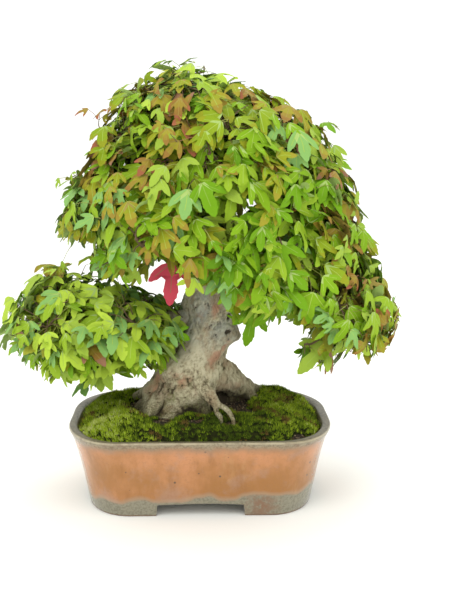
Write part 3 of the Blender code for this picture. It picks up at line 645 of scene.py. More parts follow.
def trunk_point(turn, share):
    """A point of the trunk's skin, with its tone (painted darker in its deep hollows as painted shade), its
    flaking and its green.
    """
    height = TRUNK_FOOT + (TRUNK[-1, 0] - TRUNK_FOOT) * share ** TRUNK_SPACING
    centre, radius = trunk_at(height)
    towards = Vector((math.cos(turn), math.sin(turn), 0))
    reach = trunk_reach(turn, height)
    skin = centre + towards * reach
    rise, tone = bark_relief(skin, radius)
    # painted shade: the bark's tone is darkened in the trunk's deep hollows, where shade falls
    painted_hollow_shade = min(1, sum(patch(turn, height, way, at, width, spread) for at, way, out, width, spread in SWELLINGS
                      if out < -HOLE_DEPTH))
    lumps = noise.noise(skin * 75)
    stray_turn, stray_height = (wander * lumps for wander in RING_WANDER)
    for at, way, width, spread in KNOTS:
        near = patch(turn + stray_turn, height + stray_height, way, at, width, spread)
        ring = near * math.sin(RING_TURNS * math.sqrt(-math.log(max(near, FAINTEST_RING))))
        rise += RING_RISE * ring
        tone += RING_TONE * ring
    flake = flake_share(turn, height, skin)
    low = between((GREEN_TOP - height) / GREEN_FADE)
    green = between(low * (0.7 + 1.6 * noise.fractal(skin * 60, 0.9, 2.0, 3)))
    tone = between(tone) * (1 - painted_hollow_shade) - HOLLOW_PAINTED_SHADE * painted_hollow_shade
    return centre + towards * (reach + rise - FLAKE_DEPTH * flake), (tone, flake, green)


def bark_finish():
    """Grey-tan bark: pale on its ridges, dark in its cracks and, as painted shade, in its hollows and under
    its limbs, and stained by flakes, moss and damp.
    """
    bark = Finish("bark", "a0987c", 0.92, Specular_IOR_Level=0.25)
    tone, flake, green = (bark.node("ShaderNodeAttribute", attribute_name=word).outputs["Fac"]
                          for word in ("tone", "flake", "green"))
    grain = bark.cloud(430, 5, stretch=(1, 1, 0.45))
    stipple = bark.cloud(900, 2)
    swirl = bark.cloud(48, 6, stretch=(1, 1, 0.6), twist=2.6)
    for pattern, times in ((grain, 0.9), (stipple, 0.18), (swirl, 1.1)):
        tone = bark.sum(tone, bark.sum(pattern, 0.5, -1.0), times)
    high = bark.step(bark.height, 0.150, 0.215)
    low = bark.step(bark.height, 0.132, 0.103)
    body = paint("8d8267")
    for layer in (  # colour, the pattern that spreads it, that pattern's two levels, share and place
            ("c9c0a2", tone, (0.25, 0.95)),
            ("9aa19d", bark.cloud(30, 4), (0.38, 0.62), 0.65, high),
            ("a0876a", bark.cloud(46, 4, shift=(5, 2, 7)), (0.48, 0.66), 0.55),
            ("ad8a76", bark.cloud(38, 4, shift=(1, 9, 3)), (0.54, 0.70), 0.45),
            ("b7846a", tone, (0.00, 0.60), 0.68, flake),
            ("747842", grain, (0.36, 0.60), 0.75, green),
            ("534c30", stipple, (0.36, 0.60), 0.70, low),
            # this darkest brown follows the tone: it darkens the cracks, and the hollows and limb undersides
            # as painted shade
            ("392f24", tone, (0.44, 0.00), 0.92)):
        body = bark.stain(body, *layer)
    bark.colour(body)
    bark.relief(bark.sum(grain, stipple, 0.4), 0.0014)
    return bark


def route_through(stops, count):
    """So many points along a smooth curve through these stops."""
    stops = [2 * stops[0] - stops[1], *stops, 2 * stops[-1] - stops[-2]]
    spans = len(stops) - 3
    points = []
    for i in range(count):
        share = spans * i / (count - 1)
        span = min(int(share), spans - 1)
        t = share - span
        a, b, c, d = stops[span:span + 4]
        points.append(0.5 * (2 * b + (c - a) * t + (2 * a - 5 * b + 4 * c - d) * t * t
                             + (3 * b - a - 3 * c + d) * t ** 3))
    return points


def sides_along(route):
    """Two directions square to a route at each of its points, turned as little as can be on the way."""
    found = []
    side = None
    for i in range(len(route)):
        along = (route[min(i + 1, len(route) - 1)] - route[max(i - 1, 0)]).normalized()
        side = along.orthogonal() if side is None else side - side.dot(along) * along
        side.normalize()
        found.append((side, along.cross(side)))
    return found


COLLAR_FADE = 9
LIMB_BARK = 2.2  # a limb's bark is as rough as that of a trunk so many times its radius
LIMB_LUMPS = ((0.22, 70), (0.14, 190))  # shares of the radius, and waves to the metre
# painted shade: the bark of each limb and root is painted darker the more its skin faces down
LIMB_TONE, UNDERSIDE_PAINTED_SHADE = 0.88, 0.45
CUT_FROM = 0.97
CUT_SHARES = (0.9, 0.55)
CUT_TONES = (1.0, 0.25, 0.0)
ROOT_GREEN_TOP, ROOT_GREEN_FADE, ROOT_GREEN = 0.125, 0.02, 0.5


def limb_mesh(name, stops, thick, thin, around, along, collar=0.35, cut_end=False, keel=0.0):
    """A tapering limb with bark, thicker at its foot by its collar and deeper underneath by its keel, its
    bark painted darker underneath as painted shade.
    """
    route = route_through(stops, along + 1)
    sides = sides_along(route)

    def place(turn, share):
        i = round(share * along)
        side, other = sides[i]
        radius = (thick + (thin - thick) * share) * (1 + collar * math.exp(-share * COLLAR_FADE))
        towards = side * math.cos(turn) + other * math.sin(turn)
        radius *= 1 + keel * max(-towards.z, 0.0)
        if cut_end and share > CUT_FROM:
            return route[i] + towards * radius * CUT_SHARES[share == 1], CUT_TONES
        skin = route[i] + towards * radius
        rise, tone = bark_relief(skin, radius * LIMB_BARK)
        rise += sum(radius * size * noise.noise(skin * waves) for size, waves in LIMB_LUMPS)
        green = between((ROOT_GREEN_TOP - skin.z) / ROOT_GREEN_FADE) * ROOT_GREEN
        # the tone drops where the skin faces down: painted shade
        return skin + towards * rise, (tone * (LIMB_TONE + UNDERSIDE_PAINTED_SHADE * min(towards.z, 0.0)), 0.0, green)

    return mesh_of(wrapped(around, along, place), name)


ROOT_AROUND, ROOT_ALONG, ROOT_COLLAR, ROOT_KEEL = 48, 60, 0.3, 0.9
SURFACE_ROOTS = {  # stops from inside the trunk outwards, and the thickness at each end
    "root_right": (((0.014, 0.008, 0.150), (0.033, 0.017, 0.1370), (0.0440, 0.027, 0.1275),
                    (0.0525, 0.036, 0.1190), (0.0610, 0.046, 0.1105), (0.0685, 0.055, 0.1045),
                    (0.0735, 0.061, 0.1010)), 0.0125, 0.0056),
    "root_front": (((0.000, -0.024, 0.136), (0.0080, -0.035, 0.1265), (0.0135, -0.0415, 0.1205),
                    (0.0180, -0.046, 0.1155)), 0.0092, 0.0046),
    "root_front_left_leg": (((0.0165, -0.044, 0.1175), (0.0180, -0.0495, 0.1105), (0.0222, -0.0525, 0.1040),
                             (0.0240, -0.0545, 0.0950)), 0.0030, 0.0017),
    "root_front_right_leg": (((0.0170, -0.044, 0.1165), (0.0250, -0.0500, 0.1160), (0.0315, -0.0560, 0.1120),
                              (0.0362, -0.0612, 0.1045), (0.0378, -0.0645, 0.0945)), 0.0030, 0.0015),
    "root_right_knob": (((0.056, 0.046, 0.110), (0.062, 0.036, 0.106), (0.066, 0.029, 0.102)),
                        0.0070, 0.0048),
    "root_left": (((-0.040, 0.012, 0.128), (-0.058, 0.028, 0.112), (-0.072, 0.044, 0.101),
                   (-0.080, 0.052, 0.093)), 0.0110, 0.0050),
    "root_left_front": (((-0.038, -0.010, 0.128), (-0.053, -0.022, 0.109), (-0.064, -0.036, 0.094)),
                        0.0100, 0.0046),
}

MASSES = {  # centre and half sizes of each mass's space, and its bough's foot height, thickness and arch
    "apex": ((-0.020, 0.000, 0.454), (0.100, 0.095, 0.058), None),
    "upper_left": ((-0.086, 0.000, 0.398), (0.068, 0.100, 0.076), (0.345, 0.0062, 0.004)),
    "upper_right": ((0.098, 0.004, 0.392), (0.088, 0.105, 0.080), (0.352, 0.0064, 0.006)),
    "upper_front": ((0.008, -0.082, 0.386), (0.090, 0.074, 0.074), (0.334, 0.0060, 0.004)),
    "upper_back": ((0.006, 0.084, 0.390), (0.092, 0.074, 0.074), (0.338, 0.0060, 0.004)),
    "middle_left": ((-0.126, 0.002, 0.318), (0.072, 0.105, 0.074), (0.286, 0.0090, 0.006)),
    "middle_front_left": ((-0.050, -0.094, 0.306), (0.080, 0.070, 0.074), (0.272, 0.0076, 0.006)),
    "middle_front_right": ((0.070, -0.094, 0.296), (0.084, 0.070, 0.080), (0.266, 0.0080, 0.006)),
    "middle_right": ((0.150, 0.004, 0.314), (0.076, 0.105, 0.084), (0.300, 0.0090, 0.008)),
    "middle_back": ((0.006, 0.096, 0.306), (0.130, 0.076, 0.076), (0.286, 0.0085, 0.006)),
    "lower_right_front": ((0.140, -0.052, 0.214), (0.094, 0.080, 0.082), (0.240, 0.0095, 0.008)),
    "lower_right_back": ((0.146, 0.056, 0.222), (0.094, 0.080, 0.076), (0.250, 0.0095, 0.008)),
    "lower_left_outer": ((-0.176, 0.000, 0.184), (0.070, 0.098, 0.078), (0.208, 0.0110, 0.010)),
    "lower_left_inner": ((-0.078, -0.004, 0.184), (0.082, 0.098, 0.086), (0.168, 0.0075, 0.002)),
}
TIP_INSET = 0.34
TIP_SHARE = 0.42
BOUGH_AROUND, BOUGH_ALONG = 28, 90
BOUGH_STOPS = 7
BOUGH_WIGGLE = 0.0035


def bough_stops(name):
    """The bough's middle line, from the trunk's middle to where it enters its mass."""
    centre, half, (foot_height, _, arch) = MASSES[name]
    foot, _ = trunk_at(foot_height)
    centre = Vector(centre)
    inward = (foot - centre).normalized()
    inset = TIP_INSET / math.sqrt(sum((c / h) ** 2 for c, h in zip(inward, half)))
    tip = centre + inward * inset
    middle = foot.lerp(tip, 0.5) + Vector((0, 0, arch))
    stops = []
    for i in range(BOUGH_STOPS):
        t = i / (BOUGH_STOPS - 1)
        own = Vector((foot_height * 90, i * 1.7, 0.5))
        bend = noise.noise_vector(own) * BOUGH_WIGGLE * math.sin(math.pi * t)
        stops.append(foot * (1 - t) ** 2 + middle * 2 * t * (1 - t) + tip * t ** 2 + bend)
    return stops


bark = bark_finish()
trunk_mesh = mesh_of(wrapped(TRUNK_AROUND, TRUNK_ALONG, trunk_point), "trunk_bark")
add_piece("trunk_bark", trunk_mesh, [bark], ["trunk"], sharp=60)
for name, (stops, thick, thin) in SURFACE_ROOTS.items():
    stops = [Vector(stop) for stop in stops]
    mesh = limb_mesh(name, stops, thick, thin, ROOT_AROUND, ROOT_ALONG, ROOT_COLLAR,
                     cut_end=name == "root_right_knob", keel=ROOT_KEEL if name == "root_right" else 0.0)
    add_piece(name, mesh, [bark], sharp=60)
for name, (_, _, limb) in MASSES.items():
    if limb:
        mesh = limb_mesh("bark_" + name, bough_stops(name), limb[1], limb[1] * TIP_SHARE,
                         BOUGH_AROUND, BOUGH_ALONG)
        add_piece("bark_" + name, mesh, [bark], ["bough_" + name], sharp=60)


# The moss: four cushions of fine green moss that have grown together over the soil, with gaps of dark soil
# round the roots, some of which are painted shade. Each is a lumpy bed with thousands of short upright shoots
# standing on it.

MOSS_PADS = {"right": (-46, 30), "back": (30, 148), "left": (148, 229), "front": (229, 314)}  # in degrees
PAD_START = 46
PAD_WANDER = (14, 45)  # degrees, and waves to the metre
MOSS_THICK = 0.0095
MOSS_SUNK = 0.0008
MOSS_CELL = 0.0015
MOSS_SWELL = 0.006
MOSS_LUMPS = (0.58, 0.27, 0.42)  # the least thickness, and what cushions and broad lumps add to it
MOSS_RUFFLE = 0.006
OFF_TRUNK = 0.007
BED_EDGE = 0.0015
BED_FOOT = 0.002
CUSHIONS = 58  # to the metre
CUSHION_WARP = (0.006, 90)
CREASE_SLOPE = 1.5
CREASE_CURVE = 0.7
HUMPS = ((0.094, 0.040, 0.036, 0.0065), (-0.100, 0.030, 0.030, 0.0040), (-0.104, -0.040, 0.026, 0.0020))
BARE_SPOTS = (  # where no moss has grown, some of them beside the trunk where the dark soil stands in for shade as painted shade: across, back, and how far round that
    (0.033, 0.004, 0.022), (0.112, -0.080, 0.010), (0.048, 0.034, 0.019), (0.056, -0.020, 0.012),
    (0.029, -0.058, 0.009), (-0.044, -0.052, 0.010), (-0.085, 0.045, 0.013), (-0.112, -0.030, 0.006),
    (0.105, 0.020, 0.007), (-0.010, -0.053, 0.011),
)
SPOT_RUFFLE = 0.007
TUFT_TRIES = 9500
TUFT_SHOOTS = 12
TUFT_SPREAD = 0.0016
TUFT_EDGE = (-0.001, 0.002)
TUFT_SUNK = 0.0006
SHOOT_HEIGHTS = (0.0030, 0.0058)
SHOOT_WIDTH = 0.00042
SHOOT_LEAN = 0.55
OUTER_SHOOTS = (1.1, 0.45)  # how tall the middle shoot of a tuft is, and how much of that the outermost lose
LUSH_SHARES = (0.6, 0.4, -0.25)  # of broad lumps and of cushions, and what is the same everywhere
LUSH_ENDS = (0.40, 0.085, 1.2)
DIM_FRONT = (0.075, -0.04, 0.30)  # half width and back of the darker moss in front, and how much darker
# painted light and shade: the moss is made lusher and paler towards the left, where more light falls, and
# darker towards the right
LUSH_AND_LIT_LEFT, DIM_AND_SHADED_RIGHT = 2.6, 0.8
LUSH_SPREAD = 0.22
MOOD_SPREAD = 0.30
MOODS = ((0.85, 4), (0.25, 0), (-0.20, 1))  # the least mood of each finish: pale, lush and green
DEEP_GREEN = 2
WITHERED = 3
WITHERED_PATCHES = (55, 0.36)
WITHERED_EDGE = 0.002


def moss_cover(x, y):
    """How far a point lies inside the moss: negative on bare soil."""
    ruffle = uneven(x, y, 0.1, 75, 0.8)
    turn = math.atan2(y - TRUNK[0, 2], x - TRUNK[0, 1])
    from_trunk = math.hypot(x - TRUNK[0, 1], y - TRUNK[0, 2]) - trunk_reach(turn, TRUNK[0, 0])
    cover = min(from_wall(x, y) - KEPT_OFF_WALL, from_trunk - OFF_TRUNK) + MOSS_RUFFLE * ruffle
    for spot_x, spot_y, reach in BARE_SPOTS:
        cover = min(cover, math.hypot(x - spot_x, y - spot_y) - reach + SPOT_RUFFLE * ruffle)
    return cover


def moss_pad(x, y):
    """The name of the pad that a point belongs to. Where two pads meet, the line between them wanders."""
    wander = PAD_WANDER[0] * noise.noise(Vector((x, y, 0.7)) * PAD_WANDER[1])
    direction = (math.degrees(math.atan2(y, x)) + wander + PAD_START) % 360 - PAD_START
    return next((name for name, (first, last) in MOSS_PADS.items() if first <= direction < last), "front")


def cushion_share(x, y):
    """How high in its own small cushion a point of the moss lies: 0 in the creases, and near 1 on top."""
    reach, waves = CUSHION_WARP
    spot = Vector((x, y, 0.9)) + reach * noise.noise_vector(Vector((x, y, 0.2)) * waves)
    gaps, _ = noise.voronoi(spot * CUSHIONS)
    return min(1.0, CREASE_SLOPE * (gaps[1] - gaps[0])) ** CREASE_CURVE


def moss_height(x, y, cover):
    """The height of the moss's top."""
    swell = 1 - math.exp(-max(cover, 0) / MOSS_SWELL)
    least, cushions, broad = MOSS_LUMPS
    lumps = least + cushions * cushion_share(x, y) + broad * uneven(x, y, 0.9, 40)
    hump = sum(rise * math.exp(-((x - hump_x) ** 2 + (y - hump_y) ** 2) / reach ** 2)
               for hump_x, hump_y, reach, rise in HUMPS)
    return mound_height(x, y) - MOSS_SUNK + (MOSS_THICK * lumps + hump + MOSS_SUNK) * swell


def moss_beds():
    """The cushions' own meshes, one for each pad."""
    beds = {}
    for pad in MOSS_PADS:
        shell = sheet_over_pot(MOSS_CELL)
        covers = {vert: moss_cover(vert.co.x, vert.co.y) for vert in shell.verts}
        strange = [vert for vert, cover in covers.items()
                   if cover < -BED_EDGE or moss_pad(vert.co.x, vert.co.y) != pad]
        bmesh.ops.delete(shell, geom=strange, context="VERTS")
        for vert in shell.verts:
            vert.co.z = moss_height(vert.co.x, vert.co.y, covers[vert])
        rim = [edge for edge in shell.edges if edge.is_boundary]
        made = bmesh.ops.extrude_edge_only(shell, edges=rim)["geom"]
        for item in made:
            if isinstance(item, bmesh.types.BMVert):
                item.co.z = mound_height(item.co.x, item.co.y) - BED_FOOT
        bmesh.ops.holes_fill(shell, edges=[edge for edge in shell.edges if edge.is_boundary])
        beds[pad] = mesh_of(shell, "moss_bed_" + pad)
    return beds


def lushness_and_light(x, y):
    """How well moss grows and how bright it is at a place: best and palest at the pot's left end, as painted
    light, darker towards the right as painted shade, and darker in front of the tree.
    """
    broad, cushions, everywhere = LUSH_SHARES
    lush_and_lit = broad * uneven(x, y, 1.7, 30) + cushions * cushion_share(x, y) + everywhere
    rise, reach, most = LUSH_ENDS
    lush_and_lit += rise * (min(abs(x) / reach, most) - 1)
    half_width, back, loss = DIM_FRONT
    if abs(x) < half_width and y < back:
        lush_and_lit -= loss
    # painted light to the left, painted shade to the right
    return lush_and_lit - x * (LUSH_AND_LIT_LEFT if x < 0 else DIM_AND_SHADED_RIGHT)


def moss_shoots():
    """The tufts on each pad: three-sided shoots that lean out from their middle, brightest on lush moss and
    towards the left, where light is painted on.
    """
    dice = random.Random(5)
    pads = {pad: Gathered() for pad in MOSS_PADS}
    foot = [(math.cos(t), math.sin(t), 0) for t in (0, math.tau / 3, math.tau * 2 / 3)]
    spike = np.array([*foot, (0, 0, 1)])
    faces = np.array(((0, 1, 3), (1, 2, 3), (2, 0, 3)))
    for _ in range(TUFT_TRIES):
        x = dice.uniform(-POT_HALF_LENGTH, POT_HALF_LENGTH)
        y = dice.uniform(-POT_HALF_WIDTH, POT_HALF_WIDTH)
        cover = moss_cover(x, y)
        if from_wall(x, y) < KEPT_OFF_WALL or cover < dice.uniform(*TUFT_EDGE):
            continue
        lush_and_lit = lushness_and_light(x, y) + dice.gauss(0, LUSH_SPREAD)
        tall = dice.uniform(*SHOOT_HEIGHTS) * (1 + 0.25 * lush_and_lit)
        place = (x, y, moss_height(x, y, cover) - TUFT_SUNK)
        waves, least = WITHERED_PATCHES
        withered = cover < WITHERED_EDGE or noise.noise(Vector((x, y, 3.1)) * waves) > least
        brown = withered and dice.random() < 0.5
        for number in range(TUFT_SHOOTS):
            wide = SHOOT_WIDTH * dice.uniform(0.7, 1.4)
            turn = dice.uniform(0, math.tau)
            out = math.sqrt((number + 0.5) / TUFT_SHOOTS)
            way = np.array((math.cos(turn), math.sin(turn)))
            height = tall * (OUTER_SHOOTS[0] - OUTER_SHOOTS[1] * out) * dice.uniform(0.8, 1.2)
            points = spike * (wide, wide, height)
            points[3, :2] += way * out * SHOOT_LEAN * tall
            points[:, :2] += way * out * TUFT_SPREAD
            mood = lush_and_lit + 0.25 - 0.30 * out + dice.gauss(0, MOOD_SPREAD)
            kind = WITHERED if brown else next((kind for least, kind in MOODS if mood > least), DEEP_GREEN)
            pads[moss_pad(x, y)].add(points + place, faces, np.full(3, kind))
    return pads


def moss_finish(name, colour, shade):
    moss = Finish(name, colour, 0.95, Specular_IOR_Level=0.1)
    moss.colour(moss.stain(paint(colour), shade, moss.cloud(260, 3), (0.40, 0.65)))
    return moss


moss_bed = moss_finish("moss_bed", "2a2c12", "191c0b")
moss_bed.relief(moss_bed.cloud(600, 3), 0.001)
MOSS_COLOURS = (
    ("moss_lush", "b4c83a", "98b02a"), ("moss_green", "88a026", "70881c"), ("moss_deep", "4e601a", "3e4e14"),
    ("moss_brown", "7a6234", "5c4a26"), ("moss_pale", "d0d684", "bcc468"),
)
moss_tips = [moss_finish(*colours) for colours in MOSS_COLOURS]
for pad, bed in moss_beds().items():
    add_piece("moss_bed_" + pad, bed, [moss_bed], ["moss_" + pad])
for pad, shoots in moss_shoots().items():
    shoots = shoots.mesh("moss_shoots_" + pad)
    add_piece("moss_shoots_" + pad, shoots, moss_tips, ["moss_" + pad], sharp=180)

# The soil, and its loose grains of three colours, which lie mostly where no moss has grown.

GRAIN_COLOURS = (
    ("grain_dark", "2e241c", "42342a", "5c4a38"), ("grain_brown", "5a4431", "6d543c", "80694e"),
    ("grain_pale", "77664f", "8a7a60", "a08f73"),
)
soil = soil_finish("soil", "241c14", "3c3022", "5e4e3a")
add_piece("soil_bed", soil_mesh(), [soil], ["soil"], sharp=60)
add_piece("soil_grains", grain_mesh(), [soil_finish(*colours) for colours in GRAIN_COLOURS], ["soil"])


# The foliage: from each bough's tip a stem goes on, shoots leave the stem, and twigs on the shoots bear
# leaves in opposite pairs, each on its own stalk. The three-lobed leaves hang down the outside of the crown.

CROWN_OUTLINE = (  # height, how far left and right the crown reaches there, and its half depth
    (0.150, 0.128, 0.150, 0.050), (0.163, 0.116, 0.186, 0.090), (0.178, 0.096, 0.215, 0.112),
    (0.194, 0.066, 0.230, 0.125), (0.215, 0.034, 0.232, 0.135), (0.238, -0.006, 0.225, 0.144),
    (0.255, -0.112, 0.215, 0.148), (0.272, -0.152, 0.206, 0.150), (0.300, -0.164, 0.197, 0.150),
    (0.330, -0.163, 0.186, 0.148), (0.365, -0.152, 0.176, 0.142), (0.385, -0.130, 0.167, 0.134),
    (0.405, -0.120, 0.157, 0.126), (0.425, -0.118, 0.140, 0.114), (0.445, -0.106, 0.115, 0.100),
    (0.465, -0.086, 0.068, 0.078), (0.478, -0.054, 0.038, 0.050), (0.490, -0.030, 0.010, 0.022),
)
LOWER_LEFT_OUTLINE = (
    (0.118, -0.140, -0.112, 0.030), (0.128, -0.156, -0.092, 0.052), (0.140, -0.178, -0.070, 0.070),
    (0.152, -0.202, -0.036, 0.082), (0.174, -0.230, 0.000, 0.090), (0.192, -0.236, 0.012, 0.094),
    (0.211, -0.230, 0.008, 0.092), (0.229, -0.216, -0.032, 0.078), (0.246, -0.202, -0.090, 0.060),
    (0.268, -0.176, -0.128, 0.034),
)
BEYOND = 2.0
SHELL = 0.35
SHELL_REACH = 0.045
SPACE_SLACK = 0.16
CAMERA_PLACE = Vector((-0.006, -1.132, 0.444))
CAMERA_RIGHT = math.radians(1.76)
CAMERA_DOWN = math.radians(10.77)
CAMERA_ROLL = math.radians(0.19)
PHOTO_MIDDLE = Vector((225, 300))
PHOTO_SCALE = 1000  # pixels for a metre, seen from a metre away
SKY_GAPS = (  # where the photograph shows sky through the crown: middle and half size in its pixels
    ((164, 279), (25, 19)), ((129, 165), (11, 7)), ((172, 154), (6, 4)), ((80, 251), (24, 7)),
    ((281, 333), (25, 16)), ((230, 210), (10, 8)), ((250, 206), (10, 11)), ((113, 281), (10, 4)),
    ((136, 266), (6, 5)), ((308, 334), (10, 8)), ((352, 367), (18, 14)), ((122, 379), (13, 8)),
    ((66, 388), (16, 10)),
)
TRUNK_GAPS = (((205, 213), (9, 12)), ((208, 302), (19, 16)))  # where it shows the trunk between its leaves


def share_of(point, name):
    """How far out of a mass's space a point lies: under 1 is inside."""
    centre, half, _ = MASSES[name]
    return math.sqrt(sum(((p - c) / h) ** 2 for p, c, h in zip(point, centre, half)))


def is_low_left(name):
    return name.startswith("lower_left")


def outline_of(name):
    return LOWER_LEFT_OUTLINE if is_low_left(name) else CROWN_OUTLINE


def outline_share(point, outline):
    """How far out in an outline, an ellipse in plan at every height, a point lies: under 1 is inside."""
    for low, high in zip(outline, outline[1:]):
        if low[0] <= point.z < high[0]:
            share = (point.z - low[0]) / (high[0] - low[0])
            left, right, depth = (a + share * (b - a) for a, b in zip(low[1:], high[1:]))
            across = (2 * point.x - left - right) / (right - left)
            return across ** 2 + (point.y / depth) ** 2
    return BEYOND


def in_own_space(point, name, slack=0.0):
    own = share_of(point, name)
    return own < 1 + slack and all(share_of(point, other) > own - slack for other in MASSES if other != name)


def near_surface(point, name):
    """Whether a point is in the outer shell of the crown, where leaves get light."""
    outline = outline_of(name)
    above = outline_share(point + Vector((0, 0, SHELL_REACH)), outline)
    below = outline_share(point - Vector((0, 0, SHELL_REACH)), outline)
    return max(outline_share(point, outline), above, below) > SHELL


def clear_of_trunk(point, room):
    centre, radius = trunk_at(between(point.z, TRUNK[0, 0], TRUNK[-1, 0]))
    return (point - centre).length > radius + room


def photo_spot(point):
    """Where a point shows in the photograph, in its pixels."""
    level = math.cos(CAMERA_DOWN)
    ahead = Vector((math.sin(CAMERA_RIGHT) * level, math.cos(CAMERA_RIGHT) * level, -math.sin(CAMERA_DOWN)))
    right = Vector((math.cos(CAMERA_RIGHT), -math.sin(CAMERA_RIGHT), 0))
    way = point - CAMERA_PLACE
    across, up = way.dot(right), way.dot(right.cross(ahead))
    across, up = (across * math.cos(CAMERA_ROLL) + up * math.sin(CAMERA_ROLL),
                  up * math.cos(CAMERA_ROLL) - across * math.sin(CAMERA_ROLL))
    return PHOTO_MIDDLE + Vector((across, -up)) * PHOTO_SCALE / way.dot(ahead)


def in_sky_gap(point):
    spot = photo_spot(point)
    gaps = SKY_GAPS + TRUNK_GAPS if point.y < 0 else SKY_GAPS
    return any(((spot.x - middle[0]) / half[0]) ** 2 + ((spot.y - middle[1]) / half[1]) ** 2 < 1
               for middle, half in gaps)


LEAF_FOOT = (0.080, 0.008)  # all sizes of a leaf are shares of its length
SIDE_LOBE_WIDTH = 0.125
SIDE_LOBE = (  # along its vein and out from it, from the leaf's foot round its tip to the notch
    (0.34, 0.95), (0.62, 1.04), (0.80, 0.84), (0.86, 0.62), (0.96, 0.34), (1.0, 0.0), (0.92, -0.40),
    (0.84, -0.46), (0.74, -0.74), (0.56, -0.78),
)
MIDDLE_LOBE = (
    (0.170, 0.53), (0.192, 0.66), (0.168, 0.70), (0.158, 0.80), (0.118, 0.84), (0.080, 0.935), (0.0, 1.0),
)
CROSS_VEIN = 0.72
UPPER_CUT = 0.68
LEAF_MERGE = 0.012
LEAF_SLIVER = 0.001
LEAF_SEAM = 1e-5
VEIN_WIDTH = 0.009
VEIN_START = 0.1
OFF_VEIN = 1e-4
LEAF_HEART = Vector((0, 0.30))
LEAF_ZONES = (0.20, 0.40)  # how far from its heart a leaf turns to its middle colour and to that of its tips
LEAF_THICKNESS = 0.010
LEAF_WAVE = (0.025, 4, 9)  # height of its waves, and how they run across it and along it
LEAF_DROOP = (1.3, 0.8)  # how its droop grows across it and along it
UNDER_ZONE = 3
VEIN_ZONE = 4
LEAF_FORMS = (  # turn and reach of its side lobes, notch, fold at the veins, droop, and where its waves start
    (40, 0.84, (0.150, 0.44), 0.14, 0.14, 0.0), (46, 0.74, (0.140, 0.42), 0.24, 0.22, 1.1),
    (50, 0.72, (0.150, 0.40), 0.18, 0.28, 2.3), (36, 0.80, (0.160, 0.50), 0.28, 0.10, 3.6),
    (48, 0.78, (0.145, 0.42), 0.20, 0.36, 5.0), (43, 0.70, (0.160, 0.45), 0.34, 0.26, 4.1),
)


def leaf_shape(lobe_turn, lobe_reach, notch, fold, droop, wave):
    """(points, triangles, zones) of one leaf: cut from its outline, folded along its veins and bent down."""
    turn = math.radians(lobe_turn)
    vein = Vector((math.sin(turn), math.cos(turn), 0))
    off = Vector((math.cos(turn), -math.sin(turn), 0)) * SIDE_LOBE_WIDTH
    half = [Vector((0, 0, 0)), Vector((*LEAF_FOOT, 0))]
    half += [vein * lobe_reach * ahead + off * out for ahead, out in SIDE_LOBE]
    half += [Vector((*notch, 0))]
    half += [Vector((*place, 0)) for place in MIDDLE_LOBE]
    shell = bmesh.new()
    rim = [*half, *(Vector((-place.x, place.y, 0)) for place in half[-2:0:-1])]
    shell.faces.new([shell.verts.new(place) for place in rim])
    cuts = [((0, 0, 0), (1, 0, 0))]
    cuts += [((0, 0, 0), (vein.y, -side * vein.x, 0)) for side in (-1, 1)]
    cuts += [((0, y, 0), (0, 1, 0)) for y in (CROSS_VEIN * lobe_reach * vein.y, UPPER_CUT)]
    for place, normal in cuts:
        bmesh.ops.bisect_plane(shell, geom=shell.verts[:] + shell.edges[:] + shell.faces[:],
                               plane_co=place, plane_no=normal)
    bmesh.ops.remove_doubles(shell, verts=shell.verts, dist=LEAF_MERGE)
    bmesh.ops.dissolve_degenerate(shell, edges=shell.edges, dist=LEAF_SLIVER)
    shell.normal_update()
    if shell.faces[:][0].normal.z < 0:
        bmesh.ops.reverse_faces(shell, faces=shell.faces)
    top = shell.edges[:]
    under = bmesh.ops.duplicate(shell, geom=shell.verts[:] + shell.edges[:] + shell.faces[:])["geom"]
    under_faces = [item for item in under if isinstance(item, bmesh.types.BMFace)]
    bmesh.ops.reverse_faces(shell, faces=under_faces)
    for face in under_faces:
        face.material_index = UNDER_ZONE

    def off_veins(place):
        place = Vector((abs(place.x), place.y, 0))
        return min(place.x, (place - vein * place.dot(vein)).length)

    def is_vein(edge):
        ends = [vert.co for vert in edge.verts]
        apart = max(off_veins(ends[0]), off_veins(ends[1]), off_veins((ends[0] + ends[1]) / 2))
        at_rim = any(vert.is_boundary and vert.co.length > VEIN_START for vert in edge.verts)
        return not edge.is_boundary and apart < OFF_VEIN and not at_rim

    raised = bmesh.ops.bevel(shell, geom=[edge for edge in top if is_vein(edge)], offset=VEIN_WIDTH,
                             offset_type="OFFSET", segments=1, profile=0.5, affect="EDGES",
                             clamp_overlap=True, material=-1)
    for face in raised["faces"]:
        face.material_index = VEIN_ZONE
    height, waves_across, waves_along = LEAF_WAVE
    for vert in shell.verts:
        x, y, _ = vert.co
        vert.co.z = fold * off_veins(vert.co) + height * math.sin(waves_along * y + wave + waves_across * x)
        vert.co.z -= droop * (y * y * LEAF_DROOP[1] + x * x * LEAF_DROOP[0])
        if not vert.is_boundary and all(face.material_index == UNDER_ZONE for face in vert.link_faces):
            vert.co.z -= LEAF_THICKNESS
    bmesh.ops.triangulate(shell, faces=shell.faces)
    bmesh.ops.remove_doubles(shell, verts=shell.verts, dist=LEAF_SEAM)
    zones = []
    for face in shell.faces:
        out = (face.calc_center_median().to_2d() - LEAF_HEART).length
        zones.append(face.material_index or sum(out > zone for zone in LEAF_ZONES))
    points, faces = arrays_of(shell)
    return points, faces, np.array(zones)


